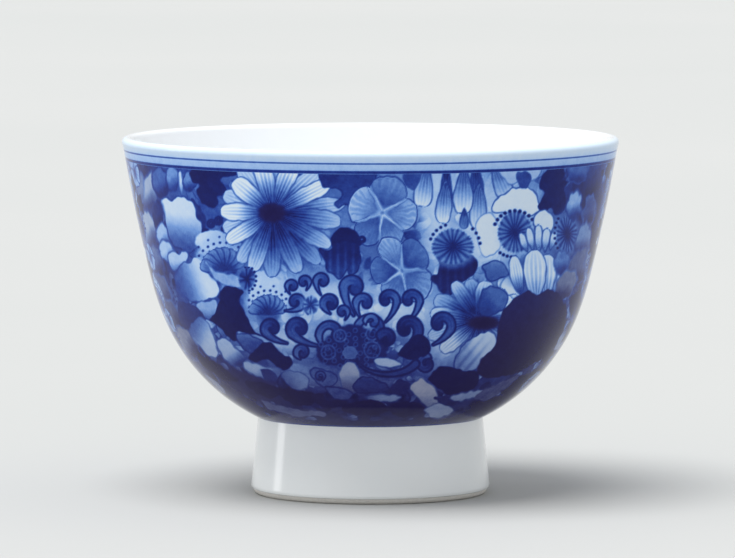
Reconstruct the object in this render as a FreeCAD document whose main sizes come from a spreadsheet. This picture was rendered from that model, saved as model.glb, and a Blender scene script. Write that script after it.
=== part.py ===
import FreeCAD, Part
import math
import os
import Sketcher

# Porcelain teacup on a tall foot. Millimetres, +Z up, origin at the centre of the circle it stands on.
#
# Every sub-part is turned about Z from one closed section. The sections share two wall outlines, outside and
# inside. Each outline is a chain of tangent arcs that starts at the crest of the lip, and every layer of the
# wall follows it at a constant depth: glaze first, then paint, then the fired clay. So neighbouring layers
# share their boundary exactly, with neither a gap nor an overlap.

# alias, value, what it is. Lengths are millimetres. A lean is how far the wall tilts from upright, in degrees.
DIMENSIONS = [
    ("cup_height", 61.0, "from the table to the crest of the lip"),
    ("rim_radius", 42.4, "outermost radius of the lip"),
    ("lip_radius", 0.85, "rounding of the lip, half the wall's thickness there"),
    ("crest_lean", 90.0, "the crest of the lip and the flat floor face straight up"),
    ("flare_lean", 16.5, "outside: lean where the lip's rounding ends"),
    ("flare_radius", 16.0, "outside: hollow curve that turns the lip out"),
    ("upper_lean", 9.8, "outside: lean where the upper wall starts"),
    ("upper_radius", 290.0, "outside: upper wall, almost straight"),
    ("belly_lean", 14.0, "outside: lean where the belly starts"),
    ("belly_radius", 58.5, "outside: belly"),
    ("lower_lean", 20.0, "outside: lean where the lower curve starts"),
    ("lower_radius", 33.0, "outside: lower curve down to the foot"),
    ("joint_lean", 64.0, "outside: lean where the bowl meets the foot"),
    ("inner_lip_lean", 11.7, "inside: lean where the lip's rounding ends"),
    ("inner_upper_radius", 360.0, "inside: upper wall"),
    ("inner_belly_lean", 15.0, "inside: lean where the belly starts"),
    ("inner_belly_radius", 55.0, "inside: belly"),
    ("inner_lower_lean", 28.0, "inside: lean where the lower curve starts"),
    ("inner_lower_radius", 22.4, "inside: lower curve down to the flat floor"),
    ("glaze", 0.3, "clear glaze over the paint"),
    ("paint", 0.1, "cobalt under the glaze; where there is none, the glaze fills its depth too"),
    ("upper_line_drop", 0.85, "from the end of the lip's rounding down to the upper rim line"),
    ("upper_line_width", 0.35, "upper rim line"),
    ("lower_line_drop", 0.3, "from the start of the upper wall down to the lower rim line"),
    ("lower_line_width", 0.6, "lower rim line"),
    ("foot_line_width", 0.6, "cobalt line around the corner above the foot"),
    ("foot_radius", 20.4, "outermost radius of the foot, near the table"),
    ("foot_round", 0.9, "rounding of the bare edge that the cup stands on"),
    ("well_radius", 16.9, "hollow of the foot, at its mouth"),
    ("well_top_radius", 15.6, "hollow of the foot, at its top"),
    ("well_corner", 1.5, "rounding inside the top of the hollow"),
    ("slip", 0.5, "thickness of the slip that joins the foot to the bowl"),
]
SHEET = "dims"
DEGREES = 180 / math.pi
TOUCHING = 1e-6


class Size:
    """A number together with the sheet expression that gives it."""

    def __init__(self, value, text):
        self.value = value
        self.text = text

    def __add__(self, other):
        return Size(self.value + other.value, f"({self.text} + {other.text})")

    def __sub__(self, other):
        return Size(self.value - other.value, f"({self.text} - {other.text})")

    def __mul__(self, other):
        return Size(self.value * other.value, f"{self.text} * {other.text}")

    def __neg__(self):
        return Size(-self.value, f"(-{self.text})")

    def __abs__(self):
        return Size(abs(self.value), f"abs({self.text})")


def cosine(angle):
    return Size(math.cos(angle.value / DEGREES), f"cos({angle.text} * 1 deg)")


def sine(angle):
    return Size(math.sin(angle.value / DEGREES), f"sin({angle.text} * 1 deg)")


def swept(distance, radius):
    """The angle in degrees that a distance covers along an arc."""
    return Size(distance.value / radius.value * DEGREES, f"{distance.text} / {radius.text} * 180 / pi")


class Wall:
    """One side of the bowl's wall: tangent arcs from the crest of the lip downwards.

    A radius is negative where the surface is hollow. leans holds the wall's lean at the start of each arc
    and at the end of the last. side is 1 outside and -1 inside, where the surface faces the axis.
    """

    def __init__(self, side, radii, leans):
        self.side = Size(side, str(side))
        self.radii = radii
        self.leans = leans

    def facing(self, lean):
        """The direction in which the surface faces, as (x, z)."""
        return self.side * cosine(lean), -self.side * sine(lean)

    def centre(self, arc):
        """Where an arc has its centre: the lip's centre, moved along each tangent point's direction."""
        x = size["rim_radius"] - size["lip_radius"]
        z = size["cup_height"] - size["lip_radius"]
        for k in range(arc):
            across, up = self.facing(self.leans[k + 1])
            change = self.radii[k] - self.radii[k + 1]
            x = x + change * across
            z = z + change * up
        return x, z

    def point(self, arc, lean, depth):
        """The point where that arc has that lean, at a depth below the surface."""
        x, z = self.centre(arc)
        across, up = self.facing(lean)
        reach = self.radii[arc] - depth
        return x + reach * across, z + reach * up

    def below(self, arc, distance):
        """The station (arc, lean) at a distance along the surface below the start of that arc."""
        return arc, self.leans[arc] + swept(distance, self.radii[arc])

    def above_end(self, distance):
        """The station (arc, lean) at a distance along the surface above the end of the last arc."""
        return len(self.radii) - 1, self.leans[-1] - swept(distance, self.radii[-1])

    def crest(self):
        return 0, self.leans[0]

    def end(self):
        return len(self.radii) - 1, self.leans[-1]


class Section:
    """A closed outline in the XZ plane, drawn edge by edge, with each corner and radius held to the sheet."""

    def __init__(self, sketch, start):
        self.sketch = sketch
        self.start = start
        self.here = start
        self.first_end = None
        self.last_end = None

    def bind(self, kind, *where, to):
        index = self.sketch.addConstraint(Sketcher.Constraint(kind, *where, to.value))
        self.sketch.setExpression(f"Constraints[{index}]", to.text)

    def join(self, end, other_end):
        self.sketch.addConstraint(Sketcher.Constraint("Coincident", *end, *other_end))

    def add(self, curve, near_end, far_end, to):
        """Adds an edge, joins it to the one before and fixes its far end. Ends are 1 or 2, as Sketcher has them."""
        edge = self.sketch.addGeometry(curve, False)
        if self.last_end is None:
            self.first_end = (edge, near_end)
        else:
            self.join(self.last_end, (edge, near_end))
        for kind, axis, coordinate in (("DistanceX", -2, to[0]), ("DistanceY", -1, to[1])):
            if coordinate is zero:
                self.sketch.addConstraint(Sketcher.Constraint("PointOnObject", edge, far_end, axis))
            else:
                self.bind(kind, -1, 1, edge, far_end, to=coordinate)
        self.last_end = (edge, far_end)
        self.here = to
        return edge

    def line_to(self, to):
        self.add(Part.LineSegment(vector(self.here), vector(to)), 1, 2, to)

    def arc_to(self, to, centre, radius):
        """An arc of less than half a turn, whichever way round that is."""
        begins = math.atan2(self.here[1].value - centre[1].value, self.here[0].value - centre[0].value)
        ends = math.atan2(to[1].value - centre[1].value, to[0].value - centre[0].value)
        circle = Part.Circle(vector(centre), FreeCAD.Vector(0, 0, 1), radius.value)
        if math.sin(ends - begins) > 0:
            edge = self.add(Part.ArcOfCircle(circle, begins, ends), 1, 2, to)
        else:
            edge = self.add(Part.ArcOfCircle(circle, ends, begins), 2, 1, to)
        self.bind("Radius", edge, to=radius)

    def follow(self, wall, depth, start, end):
        """Arcs along a wall at one depth, up or down it, between two stations (arc, lean)."""
        step = 1 if end[0] >= start[0] else -1
        for arc in range(start[0], end[0] + step, step):
            lean = end[1] if arc == end[0] else wall.leans[arc + max(step, 0)]
            self.arc_to(wall.point(arc, lean, depth), wall.centre(arc), abs(wall.radii[arc] - depth))

    def close(self):
        """Joins the last edge to the first, by a line if they don't meet yet."""
        if (vector(self.here) - vector(self.start)).Length > TOUCHING:
            self.line_to(self.start)
        self.join(self.last_end, self.first_end)


def vector(point):
    return FreeCAD.Vector(point[0].value, point[1].value, 0)


def new_section(name, start):
    """A body with an empty sketch on its own XZ plane, and the section that is drawn in it."""
    body = doc.addObject("PartDesign::Body", name)
    body.Label = name
    body.Placement = FreeCAD.Placement()
    sketch = body.newObject("Sketcher::SketchObject", name + "_section")
    plane = next(f for f in body.Origin.OriginFeatures if f.Role == "XZ_Plane")
    sketch.AttachmentSupport = (plane, [""])
    sketch.MapMode = "FlatFace"
    return body, Section(sketch, start)


def turned(body, section):
    """Closes the section and turns it about Z into the body's solid."""
    section.close()
    feature = body.newObject("PartDesign::Revolution", body.Name + "_turned")
    feature.Profile = section.sketch
    feature.ReferenceAxis = (section.sketch, ["V_Axis"])
    feature.Angle = 360
    body.Tip = feature
    return body


def make_bowl_body():
    """The thrown bowl of fired clay. Underneath it has a flat seat for the foot."""
    body, section = new_section("bowl_body", outside.point(*outside.crest(), coat))
    section.follow(outside, coat, outside.crest(), outside.end())
    section.line_to((zero, seat_level))
    section.line_to((zero, floor_level - coat))
    section.line_to(inside.point(*inside.end(), coat))
    section.follow(inside, coat, inside.end(), inside.crest())
    return turned(body, section)


def make_foot_ring():
    """The tall hollow foot, thrown on its own. It splays a little and stands on a rounded bare edge."""
    outer = size["foot_radius"] - coat
    inner = size["well_radius"] + coat
    bend = size["foot_round"]
    body, section = new_section("foot_ring", (outer, bend))
    section.arc_to((outer - bend, zero), (outer - bend, bend), bend)
    section.line_to((inner + bend, zero))
    section.arc_to((inner, bend), (inner + bend, bend), bend)
    section.line_to((well_top, seat_level - size["slip"]))
    section.line_to((foot_top, seat_level - size["slip"]))
    return turned(body, section)


def make_luting_slip():
    """The flat ring of slip between the foot and the bowl's seat."""
    body, section = new_section("luting_slip", (well_top, seat_level - size["slip"]))
    section.line_to((foot_top, seat_level - size["slip"]))
    section.line_to((foot_top, seat_level))
    section.line_to((well_top, seat_level))
    return turned(body, section)


def make_inner_glaze():
    """The glaze inside the bowl, from the crest of the lip to the middle of the floor."""
    body, section = new_section("inner_glaze", inside.point(*inside.crest(), zero))
    section.follow(inside, zero, inside.crest(), inside.end())
    section.line_to((zero, floor_level))
    section.line_to((zero, floor_level - coat))
    section.line_to(inside.point(*inside.end(), coat))
    section.follow(inside, coat, inside.end(), inside.crest())
    return turned(body, section)


def make_outer_glaze():
    """The glaze outside the bowl. It lies over the painting and both rim lines, and fills in beside them."""
    body, section = new_section("outer_glaze", outside.point(*outside.crest(), zero))
    section.follow(outside, zero, outside.crest(), outside.end())
    here = outside.end()
    for depth, there in (
        (size["glaze"], lower_line[0]),
        (coat, upper_line[1]),
        (size["glaze"], upper_line[0]),
        (coat, outside.crest()),
    ):
        section.line_to(outside.point(*here, depth))
        section.follow(outside, depth, here, there)
        here = there
    return turned(body, section)


def make_foot_glaze():
    """The glaze outside the foot. It thins out above the bare edge and fills the corner under the bowl."""
    outer = size["foot_radius"]
    bend = size["foot_round"]
    body, section = new_section("foot_glaze", (outer - coat, bend))
    section.line_to((outer, bend + coat))
    section.line_to(outside.point(*outside.end(), zero))
    section.line_to(outside.point(*outside.end(), coat))
    section.line_to((foot_top, seat_level))
    section.line_to((foot_top, seat_level - size["slip"]))
    return turned(body, section)


def make_foot_well_glaze():
    """The glaze inside the hollow foot and across the underside of the bowl."""
    roof = seat_level - coat
    corner = size["well_corner"]
    bend = size["foot_round"]
    body, section = new_section("foot_well_glaze", (size["well_radius"] + coat, bend))
    section.line_to((well_top, seat_level - size["slip"]))
    section.line_to((well_top, seat_level))
    section.line_to((zero, seat_level))
    section.line_to((zero, roof))
    middle = size["well_top_radius"] - corner
    section.line_to((middle, roof))
    section.arc_to((size["well_top_radius"], roof - corner), (middle, roof - corner), corner)
    section.line_to((size["well_radius"], bend + coat))
    return turned(body, section)


def make_painted_band(name, top, bottom):
    """A band of cobalt between the fired clay and the glaze, from station top to station bottom."""
    body, section = new_section(name, outside.point(*top, size["glaze"]))
    section.follow(outside, size["glaze"], top, bottom)
    section.line_to(outside.point(*bottom, coat))
    section.follow(outside, coat, bottom, top)
    return turned(body, section)


def check(bodies):
    """Stops with a message unless every object computed and every sub-part is one valid solid."""
    for thing in doc.Objects:
        if "Invalid" in thing.State or "Error" in thing.State:
            raise RuntimeError(f"{thing.Name} did not compute: {thing.State}")
        if thing.TypeId == "Sketcher::SketchObject" and not thing.FullyConstrained:
            raise RuntimeError(f"{thing.Name} is not fully constrained")
    for body in bodies:
        shape = body.Shape
        if shape.isNull() or not shape.isValid() or len(shape.Solids) != 1:
            raise RuntimeError(f"{body.Label} is not one valid solid")


doc = FreeCAD.newDocument("teacup")
sheet = doc.addObject("Spreadsheet::Sheet", SHEET)
size = {}
for row, (alias, value, meaning) in enumerate(DIMENSIONS, start=1):
    sheet.set(f"A{row}", alias)
    sheet.set(f"B{row}", str(value))
    sheet.set(f"C{row}", meaning)
    sheet.setAlias(f"B{row}", alias)
    size[alias] = Size(value, f"{SHEET}.{alias}")
doc.recompute()

zero = Size(0, "0")
coat = size["glaze"] + size["paint"]

outside = Wall(
    side=1,
    radii=[
        size["lip_radius"],
        -size["flare_radius"],
        size["upper_radius"],
        size["belly_radius"],
        size["lower_radius"],
    ],
    leans=[
        -size["crest_lean"],
        size["flare_lean"],
        size["upper_lean"],
        size["belly_lean"],
        size["lower_lean"],
        size["joint_lean"],
    ],
)
inside = Wall(
    side=-1,
    radii=[
        size["lip_radius"],
        -size["inner_upper_radius"],
        -size["inner_belly_radius"],
        -size["inner_lower_radius"],
    ],
    leans=[
        size["crest_lean"],
        size["inner_lip_lean"],
        size["inner_belly_lean"],
        size["inner_lower_lean"],
        size["crest_lean"],
    ],
)

# Levels and radii that the two walls lead to: the cup's floor, the seat under the bowl, and the foot's top.
floor_level = inside.point(*inside.end(), zero)[1]
seat_level = outside.point(*outside.end(), coat)[1]
foot_top = outside.point(*outside.end(), zero)[0] - coat
well_top = size["well_top_radius"] + coat

# Top and bottom stations of the two rim lines, on the flare and the upper wall, and the foot line's top.
upper_line = (
    outside.below(1, size["upper_line_drop"]),
    outside.below(1, size["upper_line_drop"] + size["upper_line_width"]),
)
lower_line = (
    outside.below(2, size["lower_line_drop"]),
    outside.below(2, size["lower_line_drop"] + size["lower_line_width"]),
)
foot_line_top = outside.above_end(size["foot_line_width"])

bodies = [
    make_bowl_body(),
    make_foot_ring(),
    make_luting_slip(),
    make_inner_glaze(),
    make_outer_glaze(),
    make_foot_glaze(),
    make_foot_well_glaze(),
    make_painted_band("rim_line_upper", *upper_line),
    make_painted_band("rim_line_lower", *lower_line),
    make_painted_band("flower_painting", lower_line[1], foot_line_top),
    make_painted_band("foot_line", foot_line_top, outside.end()),
]
doc.recompute()
check(bodies)

os.makedirs("parts", exist_ok=True)
for body in bodies:
    body.Shape.exportStep(f"parts/{body.Label}.step")
    print(f"{body.Label}: {body.Shape.Volume:.1f} cubic mm")
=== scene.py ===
import math

import bpy
import numpy as np
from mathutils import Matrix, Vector


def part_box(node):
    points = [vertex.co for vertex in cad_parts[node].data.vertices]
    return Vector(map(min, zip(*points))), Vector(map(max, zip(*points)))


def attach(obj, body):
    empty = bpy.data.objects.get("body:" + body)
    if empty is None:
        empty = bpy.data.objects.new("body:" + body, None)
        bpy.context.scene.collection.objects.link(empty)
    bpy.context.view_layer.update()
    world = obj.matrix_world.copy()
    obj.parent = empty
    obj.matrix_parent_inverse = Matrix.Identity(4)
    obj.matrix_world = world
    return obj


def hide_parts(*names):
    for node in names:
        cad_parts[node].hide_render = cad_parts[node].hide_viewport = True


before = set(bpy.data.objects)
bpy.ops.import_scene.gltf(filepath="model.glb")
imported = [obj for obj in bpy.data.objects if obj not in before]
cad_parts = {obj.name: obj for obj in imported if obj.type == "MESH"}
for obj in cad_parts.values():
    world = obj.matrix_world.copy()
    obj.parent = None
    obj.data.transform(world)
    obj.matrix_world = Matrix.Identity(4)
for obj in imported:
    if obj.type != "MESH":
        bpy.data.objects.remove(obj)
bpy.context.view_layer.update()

# Lengths are millimetres until a mesh is made. A lean is how far the wall tilts from upright, in degrees.
# Directions round the cup are degrees from the front (-Y), positive to the viewer's right.
MM = 0.001
rng = np.random.default_rng(7)


def top_of(node):
    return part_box(node)[1].z / MM


def radius_of(node):
    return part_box(node)[1].x / MM


# ---- the cup's outlines

# The wall's arcs from the crest of the lip down: each one's radius, and the lean where it ends.
LIP_RADIUS = 0.85
OUTSIDE_ARCS = [(LIP_RADIUS, 16.5), (-16.0, 9.8), (290.0, 14.0), (58.5, 20.0), (33.0, 64.0)]
INSIDE_ARCS = [(LIP_RADIUS, 11.7), (-360.0, 15.0), (-55.0, 28.0), (-22.4, 90.0)]
GLAZE_DEPTH = 0.3
COAT_DEPTH = 0.4
# Each rim line's distance below the start of the arc it lies on, and its width.
UPPER_LINE = (0.85, 0.35)
LOWER_LINE = (0.3, 0.6)
FOOT_LINE_WIDTH = 0.6
RIM_RADIUS = radius_of("outer_glaze")
CUP_HEIGHT = top_of("outer_glaze")
FOOT_RADIUS = radius_of("foot_glaze")
# The foot is bare up to FOOT_ROUND. Its coats turn in and down by FOOT_CORNER before they end there.
FOOT_ROUND = 0.9
FOOT_CORNER = (0.12, 0.28)
WELL_RADIUS = 16.9
WELL_TOP_RADIUS = 15.6
WELL_CORNER = 1.5


class Outline:
    """One side of the bowl's wall as in the CAD model: tangent arcs from the crest of the lip downwards."""

    def __init__(self, side, arcs):
        self.side = side
        self.radii = [radius for radius, _ in arcs]
        self.leans = [-90.0 * side] + [lean for _, lean in arcs]
        self.centres = [(RIM_RADIUS - LIP_RADIUS, CUP_HEIGHT - LIP_RADIUS)]
        for k, lean in enumerate(self.leans[1:-1]):
            across, up = self.facing(lean)
            change = self.radii[k] - self.radii[k + 1]
            x, z = self.centres[-1]
            self.centres.append((x + change * across, z + change * up))
        lengths = [abs(math.radians(b - a) * r) for a, b, r in zip(self.leans, self.leans[1:], self.radii)]
        self.starts = np.concatenate([[0.0], np.cumsum(lengths)])

    def facing(self, lean):
        angle = np.radians(lean)
        return self.side * np.cos(angle), -self.side * np.sin(angle)

    def at(self, distance, depth=0.0):
        """Radius, height and lean at distances along the surface below the crest, at a depth under it."""
        distance = np.atleast_1d(np.asarray(distance, float))
        arc = np.clip(np.searchsorted(self.starts, distance, side="right") - 1, 0, len(self.radii) - 1)
        radii = np.array(self.radii)[arc]
        turned = np.degrees((distance - self.starts[arc]) / np.abs(radii))
        first = np.array(self.leans)[arc]
        last = np.array(self.leans)[arc + 1]
        lean = first + turned * np.sign(last - first)
        across, up = self.facing(lean)
        centre = np.array(self.centres)[arc]
        return centre[:, 0] + (radii - depth) * across, centre[:, 1] + (radii - depth) * up, lean

    def stretch(self, start, end, spacing, depth=0.0):
        """Points (radius, height) from one distance to another, about that far apart."""
        count = max(2, int(round(abs(end - start) / spacing)) + 1)
        r, z, _ = self.at(np.linspace(start, end, count), depth)
        return np.stack([r, z], axis=1)


outside = Outline(1, OUTSIDE_ARCS)
inside = Outline(-1, INSIDE_ARCS)

UPPER_TOP = outside.starts[1] + UPPER_LINE[0]
UPPER_BOTTOM = UPPER_TOP + UPPER_LINE[1]
LOWER_TOP = outside.starts[2] + LOWER_LINE[0]
LOWER_BOTTOM = LOWER_TOP + LOWER_LINE[1]
JOINT = outside.starts[-1]
FIELD_BOTTOM = JOINT - FOOT_LINE_WIDTH


# ---- turned pieces

def turned(name, section, columns):
    """A mesh turned about the axis from a section of (radius, height) points, with the solid on its left.

    A section that starts and ends on the axis is closed there by a point; any other closes on itself.
    """
    section = np.asarray(section, float)
    to_axis = section[0, 0] < 1e-9 and section[-1, 0] < 1e-9
    rings = section[1:-1] if to_axis else section
    rows = len(rings)
    angle = np.arange(columns) * 2 * math.pi / columns
    points = np.empty((rows, columns, 3))
    points[..., 0] = rings[:, :1] * np.sin(angle)
    points[..., 1] = -rings[:, :1] * np.cos(angle)
    points[..., 2] = rings[:, 1:]
    points = points.reshape(-1, 3)
    k = np.arange(rows - 1 if to_axis else rows)[:, None]
    j = np.arange(columns)[None, :]
    here, there = k * columns, ((k + 1) % rows) * columns
    nxt = (j + 1) % columns
    quads = np.stack([here + j, here + nxt, there + nxt, there + j], axis=-1).reshape(-1, 4)
    corners = [quads.ravel()]
    sizes = [np.full(len(quads), 4)]
    if to_axis:
        poles = [(0.0, 0.0, section[0, 1]), (0.0, 0.0, section[-1, 1])]
        first, last = len(points), len(points) + 1
        points = np.concatenate([points, poles])
        ring = (rows - 1) * columns
        j, nxt = j.ravel(), nxt.ravel()
        corners.append(np.stack([np.full(columns, first), nxt, j], axis=-1).ravel())
        corners.append(np.stack([ring + j, ring + nxt, np.full(columns, last)], axis=-1).ravel())
        sizes.append(np.full(2 * columns, 3))
    corners = np.concatenate(corners).astype(np.int32)
    sizes = np.concatenate(sizes)
    mesh = bpy.data.meshes.new(name)
    mesh.vertices.add(len(points))
    mesh.vertices.foreach_set("co", (points * MM).astype(np.float32).ravel())
    mesh.loops.add(len(corners))
    mesh.loops.foreach_set("vertex_index", corners)
    mesh.polygons.add(len(sizes))
    mesh.polygons.foreach_set("loop_start", np.concatenate([[0], np.cumsum(sizes)[:-1]]).astype(np.int32))
    mesh.update(calc_edges=True)
    mesh.shade_smooth()
    mesh.set_sharp_from_angle(angle=math.radians(30))
    piece = bpy.data.objects.new(name, mesh)
    bpy.context.scene.collection.objects.link(piece)
    return piece


def give_values(piece, name, values):
    """Stores one number per vertex of a turned piece's first rows; the other vertices take the last one."""
    mesh = piece.data
    full = np.zeros(len(mesh.vertices), np.float32)
    flat = np.asarray(values, np.float32).ravel()
    full[: len(flat)] = flat
    full[len(flat):] = flat[-1]
    mesh.attributes.new(name, "FLOAT", "POINT").data.foreach_set("value", full)


def shell_section(outer, inner):
    """A closed section from a wall's outer and inner points, both listed downwards."""
    return np.concatenate([outer[::-1], inner])


# ---- the painting's grid

FIELD_ROWS = 320
FIELD_COLUMNS = 1536
COLUMN_STEP = 2 * math.pi / FIELD_COLUMNS


def ripple(points, size, count, seed):
    """Smooth noise from -1 to 1 over points in space, with features of about that size."""
    draw = np.random.default_rng(seed)
    total = np.zeros(points.shape[:-1])
    for _ in range(count):
        wave = draw.normal(size=3)
        wave *= 2 * math.pi / (size * draw.uniform(0.7, 1.6) * np.linalg.norm(wave))
        total += np.cos(points @ wave + draw.uniform(0, 2 * math.pi))
    return total / math.sqrt(count) / 1.5


class Field:
    """The painted part of the bowl as a grid: rows up the wall, columns round it.

    cobalt runs from 0, bare porcelain, to 1, the darkest navy. violet is how purple the cobalt has fired.
    ragged shifts the edges of motifs by a little, and brushed is the unevenness of the wash.
    """

    def __init__(self):
        self.distance = np.linspace(FIELD_BOTTOM, LOWER_BOTTOM, FIELD_ROWS)
        self.r, self.z, _ = outside.at(self.distance)
        angle = np.arange(FIELD_COLUMNS) * COLUMN_STEP
        self.points = np.empty((FIELD_ROWS, FIELD_COLUMNS, 3))
        self.points[..., 0] = self.r[:, None] * np.sin(angle)
        self.points[..., 1] = -self.r[:, None] * np.cos(angle)
        self.points[..., 2] = self.z[:, None]
        self.cobalt = np.zeros((FIELD_ROWS, FIELD_COLUMNS))
        self.violet = np.zeros((FIELD_ROWS, FIELD_COLUMNS))
        self.ragged = 0.14 * ripple(self.points, 1.6, 14, 31) + 0.16 * ripple(self.points, 4.0, 12, 32)
        self.brushed = ripple(self.points, 1.3, 14, 33) + 0.8 * ripple(self.points, 3.5, 12, 34)


# Where the camera stands and looks. The front of the painting is laid out as seen from there.
CAMERA_AWAY = 1200.0
CAMERA_HEIGHT = 131.5
LOOK_AT_RIGHT = -0.5
LOOK_AT_HEIGHT = 36.6


def front_view(points):
    """How far points lie to the right of the cup's axis and above the table, as the camera sees them.

    Both are true millimetres at the axis; nearer points count as a little larger.
    """
    fall = math.atan2(CAMERA_HEIGHT - LOOK_AT_HEIGHT, CAMERA_AWAY)
    level = points[..., 2] - LOOK_AT_HEIGHT
    behind = points[..., 1] * math.cos(fall) - level * math.sin(fall)
    larger = 1 / (1 + behind * math.cos(fall) / CAMERA_AWAY)
    above = level * math.cos(fall) + points[..., 1] * math.sin(fall)
    return points[..., 0] * larger, LOOK_AT_HEIGHT + above * larger


class Seen:
    """A place on the front: right of the cup's axis and above the table, as the camera sees it."""

    def __init__(self, right, up):
        self.right = right
        self.up = up


# The front's motifs fade out between FADE_START and FADE_END degrees from the front.
FADE_START = 73
FADE_END = 78

field = Field()
front_steps = np.arange(-(FIELD_COLUMNS // 4), FIELD_COLUMNS // 4 + 1)
front_columns = front_steps % FIELD_COLUMNS
front_right, front_up = front_view(field.points[:, front_columns])
front_turn = np.abs(front_steps) * 360 / FIELD_COLUMNS
front_fade = np.clip((FADE_END - front_turn) / (FADE_END - FADE_START), 0, 1)


class Spot:
    """A part of the painting, with how far each point in it is to the right of a place and above it.

    u and v are those distances after turn swings the spot's own right and up, counterclockwise as seen from
    outside. A Seen place measures both as the camera sees them, a (direction, height) place along the wall.
    """

    def __init__(self, place, reach, turn=0.0):
        if isinstance(place, Seen):
            self.look(place, reach)
        else:
            self.touch(place, reach)
        self.ragged = field.ragged[self.grid]
        self.swing(turn)

    def look(self, place, reach):
        near = (np.abs(front_right - place.right) < reach) & (np.abs(front_up - place.up) < reach)
        rows = np.nonzero(near.any(axis=1))[0]
        columns = np.nonzero(near.any(axis=0))[0]
        self.grid = np.ix_(rows, front_columns[columns])
        self.fade = front_fade[columns]
        here = np.ix_(rows, columns)
        self.right0 = front_right[here] - place.right
        self.up0 = front_up[here] - place.up

    def touch(self, place, reach):
        direction, height = place
        distance = np.interp(height, field.z, field.distance)
        r, z, lean = (float(value[0]) for value in outside.at(distance))
        a, tilt = math.radians(direction), math.radians(lean)
        centre = np.array([r * math.sin(a), -r * math.cos(a), z])
        right = np.array([math.cos(a), math.sin(a), 0.0])
        upward = np.array([math.sin(tilt) * math.sin(a), -math.sin(tilt) * math.cos(a), math.cos(tilt)])
        rows = np.nonzero(np.abs(field.distance - distance) < reach)[0]
        half = min(FIELD_COLUMNS // 2 - 1, int(reach / r / COLUMN_STEP) + 1)
        middle = int(round(a / COLUMN_STEP))
        self.grid = np.ix_(rows, np.arange(middle - half, middle + half + 1) % FIELD_COLUMNS)
        self.fade = 1.0
        offset = field.points[self.grid] - centre
        self.right0 = offset @ right
        self.up0 = offset @ upward

    def swing(self, turn):
        t = math.radians(turn)
        self.u = self.right0 * math.cos(t) + self.up0 * math.sin(t)
        self.v = self.up0 * math.cos(t) - self.right0 * math.sin(t)

    def lay(self, cover, tone, violet=0.0):
        """Lays cobalt of one tone, or a tone for each point, wherever cover is above 0."""
        cover = cover * self.fade
        field.cobalt[self.grid] += (tone - field.cobalt[self.grid]) * cover
        field.violet[self.grid] += (violet - field.violet[self.grid]) * cover

    def line(self, edge, width, tone, strength=1.0, soft=0.12):
        """Draws a line along the zero of a signed distance."""
        self.lay(strength * filled(np.abs(edge) - width / 2, soft), tone)


def filled(edge, soft=0.12):
    """1 inside a signed distance, 0 outside, with a soft edge."""
    t = np.clip(0.5 - edge / (2 * soft), 0.0, 1.0)
    return t * t * (3 - 2 * t)


def blend(a, b, t):
    """From a to b, smoothly, as t goes from 0 to 1."""
    t = np.clip(t, 0.0, 1.0)
    t = t * t * (3 - 2 * t)
    return a + (b - a) * t


def petal_edge(u, v, start, length, width, full):
    """Signed distance to a petal that points along u, how far along it each point is, and how far across.

    The smaller full is, the broader its tip.
    """
    t = (u - start) / length
    inner = np.clip(t, 0.0, 1.0)
    peak = 0.8 / (0.8 + full)
    half = width / 2 * inner ** 0.8 * (1 - inner) ** full / (peak ** 0.8 * (1 - peak) ** full)
    edge = np.maximum(np.abs(v) - half, np.maximum(t - 1, -t) * length)
    return 0.8 * edge, inner, v / np.maximum(half, 0.05)


def lobed_edge(u, v, a, b, lobes, depth, phase=0.0):
    """Signed distance to a scalloped ellipse of half sizes a and b, and the distance from its middle."""
    reach = np.hypot(u / a, v / b)
    angle = np.arctan2(v / b, u / a)
    edge = 1 - depth * (1 - np.abs(np.cos(lobes * angle / 2 + math.radians(phase))))
    return (reach - edge) * min(a, b), reach


def closed_curve(points):
    """A smooth closed curve through a few points."""
    steps = 8
    p = np.array(points, float)
    before, after, beyond = np.roll(p, 1, 0), np.roll(p, -1, 0), np.roll(p, -2, 0)
    t = (np.arange(steps) / steps)[None, :, None]
    a, b, c, d = (x[:, None, :] for x in (before, p, after, beyond))
    bend = (2 * a - 5 * b + 4 * c - d) * t ** 2 + (3 * b - a - 3 * c + d) * t ** 3
    return (b + 0.5 * ((c - a) * t + bend)).reshape(-1, 2)


def region_edge(u, v, points):
    """Signed distance to a smooth closed curve through the given points."""
    curve = closed_curve(points)
    best = np.full(u.shape, 1e9)
    crossings = np.zeros(u.shape, bool)
    for (x0, y0), (x1, y1) in zip(curve, np.roll(curve, -1, 0)):
        dx, dy = x1 - x0, y1 - y0
        t = np.clip(((u - x0) * dx + (v - y0) * dy) / (dx * dx + dy * dy + 1e-12), 0, 1)
        best = np.minimum(best, (u - x0 - t * dx) ** 2 + (v - y0 - t * dy) ** 2)
        if y0 != y1:
            crossings ^= ((y0 > v) != (y1 > v)) & (u < x0 + (v - y0) * dx / dy)
    return np.where(crossings, -1, 1) * np.sqrt(best)


def stroke_edge(u, v, path, widths):
    """Signed distance to a brush stroke whose width changes, and how far along its path each point is."""
    best = np.full(u.shape, 1e9)
    along = np.zeros(u.shape)
    for k in range(len(path) - 1):
        (x0, y0), (x1, y1) = path[k], path[k + 1]
        dx, dy = x1 - x0, y1 - y0
        t = np.clip(((u - x0) * dx + (v - y0) * dy) / (dx * dx + dy * dy + 1e-12), 0, 1)
        half = (widths[k] + (widths[k + 1] - widths[k]) * t) / 2
        edge = np.hypot(u - x0 - t * dx, v - y0 - t * dy) - half
        nearer = edge < best
        best = np.where(nearer, edge, best)
        along = np.where(nearer, (k + t) / (len(path) - 1), along)
    return best, along


# ---- motifs

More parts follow.
